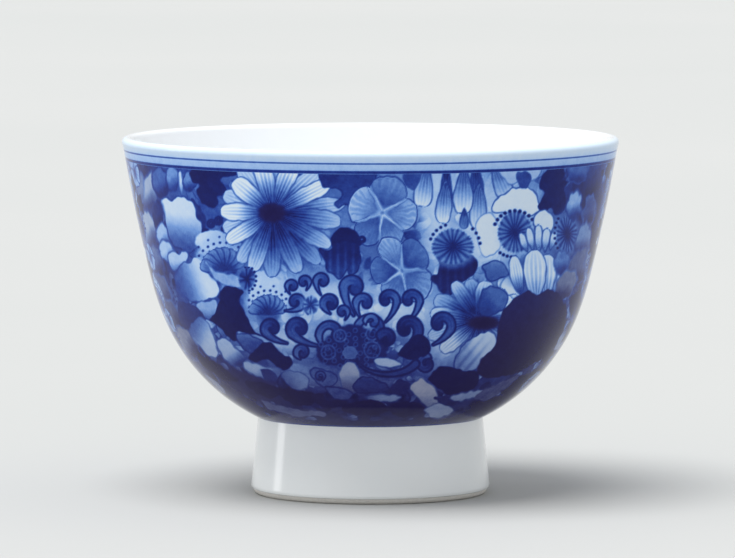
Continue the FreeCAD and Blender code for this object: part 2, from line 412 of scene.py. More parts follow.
def wash(place, wide, high, tone, strength, violet=0.0):
    """A soft patch of cobalt with no edge."""
    spot = Spot(place, 2.2 * max(wide, high))
    reach = (spot.u / wide) ** 2 + (spot.v / high) ** 2
    spot.lay(strength * np.exp(-reach), tone, violet)


def petal(spot, turn, start, length, width, base, tip, streaks, rim, full=0.45, fade=0.6):
    """One petal from a flower's middle: darker at its base, with streaks along it and a thin dark rim."""
    spot.swing(turn)
    edge, t, s = petal_edge(spot.u, spot.v, start, length, width, full)
    edge = edge + 0.5 * spot.ragged
    lines = np.abs(np.sin(s * 2.6 * math.pi + 0.7)) ** 3
    streaked = (1 - lines) * (1 - t) ** 0.8 * np.clip(1.2 - np.abs(s), 0, 1)
    tone = blend(base, tip, t / fade) + streaks * streaked - streaks * 0.35 * (1 - t)
    spot.lay(filled(edge), np.clip(tone, 0, 1))
    if rim:
        spot.line(edge, 0.17, rim, 0.75)


def daisy(place, radius, petals, turn, heart, base, tip, rim, gap, deep, streaks=0.4, violet=0.55,
          stretch=(0.0, 0.0), heart_shift=(0.0, 0.0)):
    """A large open daisy with a dark heart of half sizes heart.

    deep is which way its petals are bluer, and by how much. stretch is how much longer they are one way,
    and which way. gap is how far from the middle they start.
    """
    draw = np.random.default_rng(petals)
    spot = Spot(place, radius * (1.3 + stretch[0]))
    order = [k for k in range(petals) if k % 2 == 0] + [k for k in range(petals) if k % 2]
    for n, k in enumerate(order):
        aim = turn + 360 * k / petals + draw.uniform(-4, 4)
        longer = 1 + stretch[0] * math.cos(math.radians(aim - stretch[1]))
        bluer = deep[1] * max(0.0, math.cos(math.radians(aim - deep[0])))
        behind = 0.1 if n < petals / 2 else 0.0
        length = radius * longer * draw.uniform(0.93, 1.04) - gap
        width = 2 * math.pi * radius / petals * draw.uniform(0.78, 0.98)
        petal_base, petal_tip = base + behind + bluer * 0.5, tip + behind + bluer * 0.25
        fade = 0.72 + 0.9 * bluer
        petal(spot, aim, gap, length, width, petal_base, petal_tip, streaks, rim, full=0.4, fade=fade)
    spot.swing(0)
    spot.u, spot.v = spot.u - heart_shift[0], spot.v - heart_shift[1]
    edge, reach = lobed_edge(spot.u, spot.v, heart[0], heart[1], 9, 0.06)
    spot.lay(filled(edge, 0.35) * 0.9, 0.92, violet * 0.7)
    spot.lay(filled(edge + 0.25, 0.25), blend(1.0, 0.93, reach), violet)


def blossom(place, radius, turn, base, rim, tone=0.04):
    """A small blossom with five broad round petals."""
    petals = 5
    spot = Spot(place, radius * 1.3)
    for k in range(petals):
        width = 2.1 * radius * math.sin(math.pi / petals)
        aim = turn + 360 * k / petals
        petal(spot, aim, 0.0, radius, width, base, tone, streaks=0.12, rim=rim, full=0.3, fade=0.7)
    spot.swing(0)
    spot.lay(filled(np.hypot(spot.u, spot.v) - radius * 0.13), 0.75)


def dots(place, radius, first, last, count, size=0.22, tone=0.95, flatten=1.0):
    """A row of round dots along part of a circle, from the direction first to last."""
    spot = Spot(place, radius * 1.3)
    for k in range(count):
        a = math.radians(first + (last - first) * k / max(1, count - 1))
        x, y = radius * math.cos(a), radius * flatten * math.sin(a)
        spot.lay(filled(np.hypot(spot.u - x, spot.v - y) - size, 0.14), tone)


def pompom(place, wide, high, tone, ring=None, rays=38):
    """A round flower head of fine rays, darkest in its middle, with a ring of dots from first to last."""
    spot = Spot(place, max(wide, high) * 1.5)
    halo, _ = lobed_edge(spot.u, spot.v, wide * 1.2, high * 1.2, 12, 0.02)
    spot.lay(filled(halo, 0.8) * 0.5, 0.08)
    edge, reach = lobed_edge(spot.u, spot.v, wide, high, rays, 0.05)
    edge = edge + 0.6 * spot.ragged
    angle = np.arctan2(spot.v / high, spot.u / wide)
    ray = np.cos(rays * angle / 2 + 1.3 * np.sin(4 * angle) + reach)
    body = blend(tone + 0.34, tone - 0.02, reach / 0.9) + 0.15 * ray * np.clip(reach * 2, 0, 1)
    spot.lay(filled(edge, 0.22), np.clip(body, 0, 1))
    spot.lay(filled(np.abs(edge + 0.25) - 0.12, 0.2) * 0.3 * (ray > 0), 0.85)
    if ring:
        dots(place, wide * 1.13, ring[0], ring[1], ring[2], flatten=high / wide)


def fan(place, radius, turn, spread, specks=9):
    """A half-open flower head: a cup of striped florets with two rows of dots above it."""
    tone = 0.52
    spot = Spot(place, radius * 1.9, turn)
    halo = np.hypot(spot.u - radius * 0.7, spot.v * 0.8) - radius * 0.85
    spot.lay(filled(halo, 0.5) * 0.8, 0.07)
    florets = 8
    for k in range(florets):
        aim = turn - spread / 2 + spread * k / (florets - 1)
        petal(spot, aim, 0.0, radius * 0.98, radius * 0.5, tone + 0.2, tone - 0.2, streaks=0.25, rim=0.85,
              full=0.3, fade=1.0)
    spot.swing(turn)
    base, _ = lobed_edge(spot.u + radius * 0.05, spot.v, radius * 0.4, radius * 0.55, 6, 0.04)
    spot.lay(filled(base, 0.4) * 0.6, tone + 0.3)
    dots(place, radius * 1.18, turn - spread / 2.6, turn + spread / 2.6, specks, size=0.2, tone=0.9)
    dots(place, radius * 1.42, turn - spread / 3.4, turn + spread / 3.4, specks - 4, size=0.17, tone=0.85)


def glory(place, radius, turn, tone, flatten=1.0):
    """A morning glory: broad blue lobes, notched at their edge, with white ribs between them."""
    petals = 5
    spot = Spot(place, radius * 1.3, turn)
    u, v = spot.u, spot.v / flatten
    angle = np.arctan2(v, u)
    angle = angle + 0.22 * np.sin(angle + turn) + 0.25 * spot.ragged
    reach = np.hypot(u, v) / radius
    along = np.abs(np.cos(petals * angle / 2))
    edge = (reach - 1 + 0.26 * (1 - along ** 0.6)) * radius + 0.8 * spot.ragged
    lobe_number = np.round(angle * petals / (2 * math.pi)) % petals
    own = 0.13 * np.sin(lobe_number * 2.3 + turn)
    across = np.abs(np.sin(petals * angle / 2))
    panel = blend(tone + 0.2, tone - 0.12, reach * 1.05) + own + 0.08 * across
    spot.lay(filled(edge), np.clip(panel, 0, 1))
    notch = along * reach * radius * 2 / petals
    rib = filled(notch - 0.36 * np.clip(0.9 - reach, 0, 1) - 0.06, 0.24) * filled(edge)
    spot.lay(rib * np.clip((0.8 - reach) * 3, 0, 1) * (0.75 + 0.2 * np.sin(lobe_number * 1.9 + turn)), 0.06)
    spot.lay(filled(np.abs(notch - 0.34) - 0.05, 0.12) * filled(edge) * 0.5 * (reach > 0.35), 0.75)
    fine = np.abs(np.sin(petals * angle * 3.5)) ** 4
    veined = filled(edge + 0.3) * (across < 0.8) * np.clip(reach * 2 - 0.3, 0, 1)
    spot.lay(0.3 * (1 - fine) * veined, tone + 0.22)
    spot.line(edge, 0.2, 0.8, 0.9)
    spot.lay(filled(reach * radius - 0.25, 0.3) * 0.8, 0.55)


def lobe(place, wide, high, turn, tip, base, rim, violet=0.0, scallops=7, depth=0.1, glow=0.0):
    """One broad scalloped petal of a peony, washed from one tone at its tip to another at its base."""
    spot = Spot(place, 1.5 * max(wide, high), turn)
    edge, _ = lobed_edge(spot.u, spot.v, wide, high, scallops, depth, phase=20)
    edge = edge + 0.8 * spot.ragged
    tone = blend(tip, base, (0.25 - spot.u / wide - 0.15 * np.sin(spot.v / high * 3) + glow) / 1.1)
    spot.lay(filled(edge, 0.16), tone, violet)
    if rim:
        spot.line(edge, 0.22, rim, 0.8, 0.16)


def leaf(place, tone, points, violet=0.05, light=0.0, veins=0.0, aim=90, shade=None, rim=0.0):
    """A leaf or petal with its own outline, as (right, up) points from its place.

    light is how much paler its near end is. shade is the tone it turns to, which way, and how far from the
    middle that starts. veins lightens it, or below 0 darkens it, in stripes along aim.
    """
    reach = 1.15 * max(math.hypot(x, y) for x, y in points)
    spot = Spot(place, reach)
    edge = region_edge(spot.u, spot.v, points) + spot.ragged
    a = math.radians(aim)
    along = (spot.u * math.cos(a) + spot.v * math.sin(a)) / reach
    cross = spot.v * math.cos(a) - spot.u * math.sin(a)
    body = tone - light * np.clip(0.35 - along, 0, 1)
    if shade:
        a = math.radians(shade[1])
        toward = (spot.u * math.cos(a) + spot.v * math.sin(a)) / reach
        body = blend(body, shade[0], toward + shade[2])
    if veins:
        body = body - veins * np.abs(np.sin(cross * 2.4)) ** 4 * np.clip(0.8 - along, 0, 1)
    spot.lay(filled(edge, 0.14), np.clip(body, 0, 1), violet)
    if rim:
        spot.line(edge, 0.2, rim, 0.8, 0.14)


def curl(place, radius, start, sweep, width, tail, tone, shrink=0.55, light=0.25):
    """A curling tendril: a tail that runs into a hook, which narrows to shrink of its radius at its end.

    start is the direction from the hook's centre to where the hook begins; sweep is how far it turns.
    """
    steps = 14
    path, widths = [], []
    a0, a1 = math.radians(start), math.radians(start + sweep)
    sign = 1 if sweep > 0 else -1
    x0, y0 = radius * math.cos(a0), radius * math.sin(a0)
    back = (sign * math.sin(a0), -sign * math.cos(a0))
    for k in range(4, 0, -1):
        f = k / 4
        bow = 0.35 * tail * f * f
        x, y = x0 - math.cos(a0) * bow, y0 - math.sin(a0) * bow
        path.append((x + back[0] * tail * f, y + back[1] * tail * f))
        widths.append(width * (0.35 + 0.65 * (1 - f)))
    for k in range(steps + 1):
        f = k / steps
        a = a0 + (a1 - a0) * f
        r = radius * (1 - (1 - shrink) * f)
        path.append((r * math.cos(a), r * math.sin(a)))
        widths.append(width * (1 + 0.25 * f))
    spot = Spot(place, 1.3 * (radius + tail + width))
    edge, along = stroke_edge(spot.u, spot.v, path, widths)
    spot.lay(filled(edge - 0.05, 0.14), 0.92)
    body = blend(tone - 0.1, tone + 0.15, along)
    spot.lay(filled(edge + 0.26, 0.14), body)
    if light:
        centre = edge + widths[6] * 0.36
        spot.lay(filled(np.abs(centre) - 0.12) * light * (along < 0.85), 0.1)


# ---- the ground, the sides and the back

def paint_ground():
    """The blue wash behind the flowers, crowded with small leaves and petals."""
    cloud = ripple(field.points, 9.0, 10, 11)
    # The wash is darker towards the bottom of the cup, and so are the small petals below a height of 34.
    ground = np.interp(field.z, [14, 22, 34, 46], [0.88, 0.78, 0.62, 0.52])
    field.cobalt[:] = np.clip(ground[:, None] + 0.12 * cloud, 0.1, 0.95)
    field.violet[:] = np.clip(0.05 + 0.1 * ripple(field.points, 25.0, 6, 13), 0, 0.4)
    for _ in range(2400):
        height = rng.uniform(13.8, 57.5)
        if rng.uniform() > np.interp(height, field.z, field.r) / 42:
            continue
        place = (rng.uniform(-180, 180), height)
        low = np.clip((34 - height) / 20, 0, 1)
        turn, length = rng.uniform(0, 360), rng.uniform(1.6, 3.8)
        base = rng.choice([0.4, 0.6, 0.85, 0.97])
        tip = rng.choice([0.02, 0.08, 0.3, 0.6, 0.92], p=[0.26, 0.22, 0.2, 0.16, 0.16])
        tip, base = tip + 0.4 * low * (0.9 - tip), base + 0.5 * low * (0.98 - base)
        width, rim = length * rng.uniform(0.4, 0.7), rng.choice([0.0, 0.75, 0.95])
        spot = Spot(place, length * 1.2)
        petal(spot, turn, 0.0, length, width, base, tip, streaks=0.15, rim=rim, full=0.4, fade=0.9)


def open_places(count, apart, low, high, clear):
    """Seeded places at least that far apart, beyond clear degrees from the front."""
    found = []
    for _ in range(count * 40):
        if len(found) == count:
            break
        direction, height = rng.uniform(clear, 360 - clear), rng.uniform(low, high)
        r, a = np.interp(height, field.z, field.r), math.radians(direction)
        point = np.array([r * math.sin(a), -r * math.cos(a), height])
        if all(np.linalg.norm(point - other) > apart for _, other in found):
            found.append(((direction, height), point))
    return [place for place, _ in found]


def peony(place, size):
    """A large peony: scalloped petals in three rings, the largest outside."""
    direction, height = place
    r = np.interp(height, field.z, field.r)
    turn = rng.uniform(0, 360)
    rings = ((7, 0.95, 0.75, 0.06), (5, 0.5, 0.62, 0.02), (3, 0.18, 0.42, 0.1))
    for ring, (count, away, petal_size, tip) in enumerate(rings):
        for k in range(count):
            aim = turn + 40 * ring + 360 * k / count + rng.uniform(-8, 8)
            a = math.radians(aim)
            right, up = size * away * math.cos(a), size * away * math.sin(a)
            there = (direction + math.degrees(right / r), height + up)
            length = size * petal_size
            lobe(there, length, length * 0.8, aim, tip, base=0.78, rim=0.82, depth=0.12, glow=0.1)


def dark_leaf(place, size):
    """A navy leaf with a few broad teeth, turned any way."""
    a = math.radians(rng.uniform(0, 360))
    outline = [(0.0, 1.0), (0.35, 0.55), (0.75, 0.6), (0.55, 0.1), (0.7, -0.45), (0.2, -0.35), (0.0, -0.9),
               (-0.25, -0.4), (-0.7, -0.4), (-0.5, 0.1), (-0.75, 0.5), (-0.3, 0.5)]
    points = []
    for x, y in outline:
        x, y = x * size * rng.uniform(0.85, 1.15), y * size * rng.uniform(0.85, 1.15)
        points.append((x * math.cos(a) - y * math.sin(a), x * math.sin(a) + y * math.cos(a)))
    tone, violet, light = rng.uniform(0.9, 1.0), rng.uniform(0.0, 0.6), rng.choice([0.0, 0.0, 0.5])
    leaf(place, tone, points, violet=violet, light=light)


def paint_round():
    """The sides and the back, in the manner of the front."""
    for place in open_places(46, 8.0, 16, 57, 62):
        dark_leaf(place, rng.uniform(3.6, 6.0))
    for place in open_places(8, 26.0, 30, 50, 78):
        peony(place, rng.uniform(6.0, 7.5))
    for place in open_places(9, 21.0, 26, 51, 80):
        daisy(place, rng.uniform(7.5, 11.0), int(rng.integers(13, 18)), rng.uniform(0, 90), (2.1, 1.7),
              base=0.68, tip=0.02, rim=0.65, gap=0.6, deep=(rng.uniform(0, 360), 0.3))
    for place in open_places(9, 17.0, 30, 52, 72):
        glory(place, rng.uniform(5.0, 6.6), rng.uniform(0, 72), rng.uniform(0.32, 0.42))
    for place in open_places(16, 12.0, 22, 53, 68):
        pompom(place, rng.uniform(3.0, 4.0), rng.uniform(3.0, 4.0), rng.uniform(0.42, 0.52),
               ring=(rng.uniform(-60, 60), rng.uniform(130, 260), 14))
    for place in open_places(16, 11.0, 22, 52, 66):
        fan(place, rng.uniform(3.0, 4.0), rng.uniform(50, 130), spread=140)
    for place in open_places(30, 8.0, 17, 55, 64):
        blossom(place, rng.uniform(2.2, 3.4), rng.uniform(0, 72), rng.uniform(0.2, 0.5), 0.7)
    for place in open_places(60, 5.0, 16, 55, 64):
        radius, start, sweep = rng.uniform(1.0, 1.8), rng.uniform(0, 360), rng.choice([-230, 230])
        width, tail, tone = rng.uniform(0.9, 1.4), rng.uniform(1.5, 3.6), rng.uniform(0.5, 0.75)
        curl(place, radius, start, sweep, width, tail, tone)
    for place in open_places(90, 3.6, 14.2, 27, 64):
        dark_leaf(place, rng.uniform(1.4, 2.8))


def paint_sides():
    """Motifs over the two strips where the front runs into the rest: mostly dark leaves and darker kinds of
    the other motifs, partly as painted shade on the cup's two sides.
    """
    for side in (-1, 1):
        for height in np.arange(15.0, 57.5, 2.4):
            place = (side * rng.uniform(70, 84), height + rng.uniform(-1, 1))
            # Mostly dark kinds here, partly as painted shade on the cup's sides.
            kind = int(rng.integers(8))
            if kind == 0:
                pompom(place, 2.6, 2.6, 0.6, ring=(0, 180, 11))
            elif kind == 1:
                blossom(place, rng.uniform(2.2, 3.0), rng.uniform(0, 72), 0.6, 0.85, tone=0.2)
            elif kind == 2:
                fan(place, 3.2, rng.uniform(50, 130), spread=140)
            elif kind == 3:
                lobe(place, 3.2, 2.6, rng.uniform(0, 360), tip=0.15, base=0.85, rim=0.85, violet=0.4)
            else:
                dark_leaf(place, rng.uniform(2.4, 4.0))


# ---- the front, from the back of the picture to its front, in the order it is painted

def lobes(*rows):
    """Lobes on the front. A row is right, up, half length, half width, turn, tip, base, rim and violet."""
    for right, up, wide, high, turn, tip, base, rim, violet in rows:
        lobe(Seen(right, up), wide, high, turn, tip, base, rim, violet)


def petals(rows, streaks, rim, full=0.45, fade=0.6):
    """Petals on the front. A row is right, up, turn, length, width, base and tip."""
    for right, up, turn, length, width, base, tip in rows:
        spot = Spot(Seen(right, up), length * 1.2 + 1)
        petal(spot, turn, 0.0, length, width, base, tip, streaks, rim, full, fade)


def paint_front_ground():
    """Soft washes that set how light or dark each part is behind its flowers. The dark washes at the far
    left and right edges are partly painted shade on the cup's two sides.
    """
    for right, up, wide, high, tone, violet in (
        (-34.2, 52.7, 5.0, 4.5, 0.6, 0.0),
        (-27.1, 47.5, 6.0, 5.0, 0.62, 0.0),
        (-22.3, 43.3, 4.0, 3.0, 0.2, 0.0),
        (-5.2, 47.5, 6.0, 6.0, 0.4, 0.0),
        (5.1, 51.8, 6.0, 4.0, 0.3, 0.0),
        (11.2, 48.4, 3.4, 12.0, 0.06, 0.0),
        (22.1, 47.5, 8.5, 7.0, 0.02, 0.0),
        (20.1, 41.9, 5.0, 5.0, 0.03, 0.0),
        (17.0, 51.8, 7.0, 4.0, 0.12, 0.0),
        (30.7, 40.7, 5.0, 6.0, 0.4, 0.0),
        # Dark washes at the right edge: partly painted shade on the cup's side.
        (35.8, 50.1, 4.0, 7.0, 0.8, 0.1),
        (37.2, 39.8, 4.5, 10.0, 0.9, 0.5),
        (37.9, 49.2, 3.0, 8.0, 0.9, 0.2),
        (-15.4, 35.6, 5.0, 3.5, 0.06, 0.0),
        (-6.9, 33.0, 7.0, 5.0, 0.04, 0.1),
        (5.1, 31.3, 10.0, 5.5, 0.05, 0.1),
        (-14.4, 26.5, 8.0, 4.2, 0.08, 0.0),
        (-20.6, 31.0, 2.5, 3.0, 0.3, 0.0),
        (12.2, 25.3, 5.0, 5.0, 0.1, 0.0),
        # Dark purple-grey washes at the left edge: partly painted shade on the cup's side.
        (-36.6, 34.7, 4.0, 10.0, 0.85, 0.8),
        (-39.0, 49.2, 3.0, 11.0, 0.8, 0.6),
        (-24.0, 18.5, 7.0, 3.0, 0.8, 0.6),
        (-3.1, 18.7, 9.0, 2.0, 0.4, 0.2),
        (-12.0, 21.0, 5.0, 1.4, 0.3, 0.0),
    ):
        wash(Seen(right, up), wide, high, tone, 0.95, violet)


def paint_far_left():
    """Mauve and white petals that turn away round the side."""
    lobes(
        (-39.9, 54.4, 2.2, 1.0, 80, 0.8, 0.95, 0, 0.2),
        (-37.8, 51.5, 3.6, 1.4, 86, 0.12, 0.7, 0.7, 0.5),
        (-39.5, 51.0, 3.0, 0.8, 84, 0.3, 0.6, 0.4, 0.6),
        (-37.8, 45.0, 3.6, 1.3, 100, 0.12, 0.75, 0.7, 0.5),
        (-38.9, 40.2, 3.2, 0.9, 100, 0.4, 0.8, 0.4, 0.5),
        (-35.8, 53.2, 2.6, 1.6, 100, 0.5, 0.85, 0.85, 0),
        (-33.9, 53.9, 2.4, 1.2, 95, 0.3, 0.7, 0.8, 0),
    )
    petals([(-32.2, 50.8, 95, 4.2, 0.9, 0.4, 0.06)], streaks=0.0, rim=0.6)
    lobes(
        (-30.8, 53.5, 2.0, 1.3, 80, 0.35, 0.75, 0.8, 0),
        (-36.3, 47.5, 2.4, 1.0, 90, 0.8, 0.95, 0, 0),
        (-35.4, 43.9, 2.4, 1.3, 100, 0.15, 0.6, 0.75, 0),
        (-36.6, 39.5, 3.0, 1.3, 105, 0.4, 0.85, 0.7, 0.5),
        (-34.8, 41.2, 2.2, 1.3, 110, 0.12, 0.5, 0.75, 0),
        (-36.0, 34.4, 3.6, 1.8, 115, 0.45, 0.75, 0.5, 0.8),
        (-33.9, 29.9, 4.0, 1.8, 120, 0.5, 0.85, 0.5, 0.8),
        (-31.3, 25.8, 3.2, 1.4, 125, 0.2, 0.75, 0.5, 0.9),
        (-28.3, 20.7, 3.0, 1.2, 140, 0.5, 0.9, 0.4, 0.7),
    )


def paint_left():
    """The large daisy and the blooms and petals to its left."""
    leaf(Seen(-27.8, 52.2), 0.97, [(-3.1, 2.9), (1.0, 3.9), (5.1, 3.6), (5.0, 2.1), (3.1, 1.9), (2.2, 1.2),
         (3.2, -0.2), (2.7, -1.2), (1.5, -1.4), (1.7, -2.7), (1.0, -3.4), (-0.3, -3.1), (-1.5, -1.9),
         (-2.1, -0.5), (-1.7, 0.5), (-2.7, 1.2)])
    leaf(Seen(-29.8, 47.7), 0.8, [(-1.0, 2.4), (0.2, 1.7), (1.7, -0.7), (1.5, -3.1), (1.2, -5.3),
         (0.2, -6.5), (-0.7, -4.4)])
    leaf(Seen(-31.9, 45.7), 0.04, [(-3.6, 3.1), (-3.8, 4.4), (-2.9, 5.0), (-2.1, 4.3), (-1.2, 5.0),
         (0.0, 5.0), (1.2, 4.3), (1.9, 3.1), (2.2, 1.7), (3.1, 0.3), (3.2, -1.2), (2.6, -3.1), (1.5, -4.4),
         (0.0, -4.4), (-1.5, -3.4), (-2.6, -1.7), (-3.2, 0.7)], shade=(0.62, -100, 0.35), rim=0.85)
    leaf(Seen(-33.0, 39.5), 0.1, [(-1.7, 1.0), (-0.9, 1.9), (0.2, 1.4), (0.7, 2.1), (1.7, 1.4), (1.5, 0.0),
         (0.7, -1.0), (-0.7, -1.5), (-1.5, -0.5)], shade=(0.5, -90, 0.2), rim=0.7)
    leaf(Seen(-30.0, 36.1), 0.05, [(-2.9, 2.4), (-1.9, 3.4), (-0.9, 3.2), (-0.2, 4.3), (1.0, 3.8),
         (1.4, 2.4), (2.2, 1.5), (3.4, 0.5), (4.1, -0.9), (3.8, -2.4), (2.2, -3.1), (0.7, -3.4),
         (-0.9, -3.1), (-2.4, -2.1), (-3.2, 0.0)], shade=(0.66, 200, 0.35), rim=0.7)
    leaf(Seen(-28.1, 31.1), 0.2, [(-1.7, 1.2), (-0.2, 1.7), (1.7, 1.9), (1.9, -0.2), (1.5, -1.5),
         (0.3, -1.4), (-1.0, -0.3)], shade=(0.6, -90, 0.2), rim=0.7)
    leaf(Seen(-30.8, 29.9), 0.72, [(-2.1, 2.6), (0.0, 2.4), (1.5, 1.4), (2.6, -0.3), (1.7, -1.7),
         (0.0, -2.1), (-1.7, -0.7)], violet=0.5)
    leaf(Seen(-28.4, 26.5), 0.06, [(-2.4, 2.1), (-0.9, 3.4), (0.5, 2.7), (1.5, 0.9), (2.4, -1.5),
         (2.2, -3.2), (0.9, -3.1), (-0.9, -1.4), (-2.2, 0.2)], shade=(0.5, 160, 0.3), rim=0.5)
    curl(Seen(-27.2, 46.0), 0.6, 60, 300, 0.55, tail=0.8, tone=0.75, light=0)
    curl(Seen(-25.9, 46.5), 0.6, 100, 280, 0.55, tail=0.7, tone=0.75, light=0)
    curl(Seen(-24.8, 45.0), 0.6, 20, 300, 0.5, tail=0.7, tone=0.75, light=0)
    curl(Seen(-28.1, 44.6), 0.5, 200, 280, 0.5, tail=0.7, tone=0.7, light=0)
    lobe(Seen(-26.7, 43.1), 1.9, 3.2, 90, tip=0.03, base=0.14, rim=0, scallops=6)
    fan(Seen(-25.2, 38.0), 4.1, 96, spread=135, specks=9)
    leaf(Seen(-24.7, 36.3), 0.2, [(-3.4, 3.2), (-1.4, 1.5), (1.0, 1.2), (2.4, 0.2), (2.4, -1.2),
         (0.3, -0.9), (-2.1, 0.5)], rim=0.5)
    lobe(Seen(-18.2, 35.1), 3.2, 2.6, 80, tip=0.03, base=0.12, rim=0, scallops=6)
    fan(Seen(-17.5, 30.6), 3.42, 92, spread=135, specks=8)
    wash(Seen(-16.3, 47.0), 7.5, 7.0, 0.62, 1.0)
    daisy(Seen(-16.8, 47.9), 10.59, 19, 8, (2.45, 1.75), base=0.74, tip=0.0, rim=0.72, gap=0.7,
          deep=(-62, 0.42), streaks=0.42, violet=0.75, stretch=(0.16, -10))
    pompom(Seen(-21.1, 36.6), 1.37, 1.88, 0.62, ring=(-75, 100, 9), rays=14)


def paint_middle():
    """The two morning glories and the dark shapes between them and the daisy."""
    leaf(Seen(-4.3, 52.5), 0.78, [(-3.9, 3.4), (4.8, 3.8), (5.1, 1.4), (4.4, 0.0), (3.6, -0.7), (4.1, -2.2),
         (3.2, -3.6), (1.5, -3.9), (0.0, -3.2), (-1.2, -3.8), (-1.9, -2.9), (-0.7, -1.7), (-1.2, -0.5),
         (-2.6, -0.3), (-3.8, 0.3)], shade=(0.6, -60, 0.4), rim=0.9)
    leaf(Seen(-2.1, 53.5), 0.74, [(-2.2, 1.7), (0.3, 2.4), (2.2, 1.4), (2.1, -1.0), (0.3, -1.7),
         (-1.7, -0.7)])
    glory(Seen(2.0, 47.9), 6.49, 78, 0.34, flatten=0.92)
    glory(Seen(5.4, 38.0), 6.32, 112, 0.38, flatten=0.85)
    leaf(Seen(-4.3, 43.3), 0.95, [(-2.4, 0.3), (-1.5, 1.5), (-0.2, 2.1), (1.4, 1.7), (2.4, 0.7),
         (2.9, -0.7), (1.2, -1.7), (-0.9, -1.7), (-2.1, -1.0)])
    leaf(Seen(-4.9, 40.5), 0.9, [(-1.4, 2.4), (2.4, 2.4), (3.1, 1.0), (3.2, -1.0), (2.6, -2.7), (1.4, -3.1),
         (0.9, -2.4), (-0.2, -3.8), (-1.5, -3.2), (-2.6, -2.1), (-2.9, -0.7), (-3.8, 0.7), (-3.6, 1.4),
         (-2.4, 0.9), (-1.5, 1.4)], shade=(0.72, -90, 0.2), veins=0.16, rim=0.95)
    curl(Seen(-1.4, 43.3), 0.55, 180, -260, 0.4, tail=0.8, tone=0.7, light=0)


def paint_right():
    """The hanging petals, the dotted pompoms on white and the dark shape under them."""
    petals([
        (13.1, 56.3, 268, 7.6, 2.0, 0.85, 0.5),
        (18.0, 56.3, 272, 6.4, 2.4, 0.85, 0.45),
        (9.7, 55.9, 262, 7.0, 3.2, 0.5, 0.03),
        (21.0, 56.3, 292, 6.6, 3.0, 0.5, 0.1),
        (12.9, 53.5, 266, 7.4, 2.7, 0.6, 0.02),
        (18.6, 53.2, 268, 8.0, 3.0, 0.55, 0.04),
        (16.0, 55.9, 268, 8.2, 3.3, 0.6, 0.02),
    ], streaks=0.28, rim=0.8, full=0.35, fade=1.0)
    petals([(16.0, 48.7, 270, 3.6, 1.4, 0.8, 0.45)], streaks=0.2, rim=0.8)
    leaf(Seen(7.1, 53.5), 0.66, [(-1.5, 1.0), (0.0, 1.5), (1.4, 1.0), (1.2, -0.3), (0.2, -1.7),
         (-1.0, -0.7)])
    leaf(Seen(24.5, 49.6), 0.03, [(-3.4, -0.2), (-2.4, 1.2), (-1.4, 1.5), (-0.3, 2.4), (1.4, 2.7),
         (2.9, 2.4), (4.1, 1.0), (4.4, -1.2), (2.7, -2.2), (-1.5, -1.9), (-3.4, -1.5)], rim=0.78)
    leaf(Seen(24.2, 54.9), 0.16, [(-2.1, 1.0), (4.8, 1.0), (4.4, -0.7), (2.7, -1.7), (1.7, -1.4),
         (-0.3, -2.1), (-1.5, -1.0)], rim=0.5)
    leaf(Seen(26.2, 53.3), 0.66, [(-1.2, 1.2), (0.7, 1.5), (1.2, 0.2), (0.3, -1.2), (-0.7, -0.9)])
    leaf(Seen(20.3, 43.6), 0.03, [(-2.2, 2.7), (-0.2, 4.4), (1.4, 2.7), (2.1, 0.3), (1.4, -2.1),
         (-0.5, -3.1), (-1.7, -1.4)], rim=0.4)
    leaf(Seen(13.9, 37.8), 0.97, [(-2.6, 2.7), (-1.4, 3.2), (0.3, 1.7), (1.9, 1.9), (3.2, 3.1), (4.3, 1.9),
         (4.1, 0.2), (2.6, -1.4), (1.0, -2.1), (0.9, -3.4), (-0.9, -4.1), (-2.2, -3.4), (-2.7, -2.2),
         (-3.6, -1.5), (-3.2, -0.5), (-2.4, -0.2), (-2.2, 1.4)], violet=0.3, light=0.12, veins=0.1)
    pompom(Seen(14.1, 42.1), 3.59, 3.08, 0.52)
    dots(Seen(14.5, 42.1), 4.27, 8, 46, 4, size=0.26)
    dots(Seen(14.1, 41.9), 4.1, 108, 158, 5, size=0.26)
    pompom(Seen(24.7, 44.6), 2.9, 3.59, 0.52)
    dots(Seen(24.7, 44.6), 3.67, -18, 158, 14, size=0.3)
    dots(Seen(24.4, 44.3), 3.93, 235, 275, 5, size=0.26)
    leaf(Seen(21.8, 37.8), 0.55, [(-2.7, 0.9), (-2.1, 1.4), (-0.9, 1.9), (0.7, 1.5), (1.7, 0.3),
         (1.7, -0.5), (0.3, -1.0), (-1.2, -1.5), (-1.9, -1.0), (-2.2, 0.0)], rim=0.9, shade=(0.4, 90, 0.3))
    curl(Seen(19.4, 34.7), 0.5, 90, 300, 0.4, tail=2.0, tone=0.6, light=0)
    leaf(Seen(24.2, 35.1), 0.05, [(-2.1, 0.3), (-1.0, 1.7), (0.7, 2.1), (1.7, 0.7), (1.7, -1.0),
         (0.3, -2.1), (-1.4, -1.7)], shade=(0.35, 60, 0.2), rim=0.5)


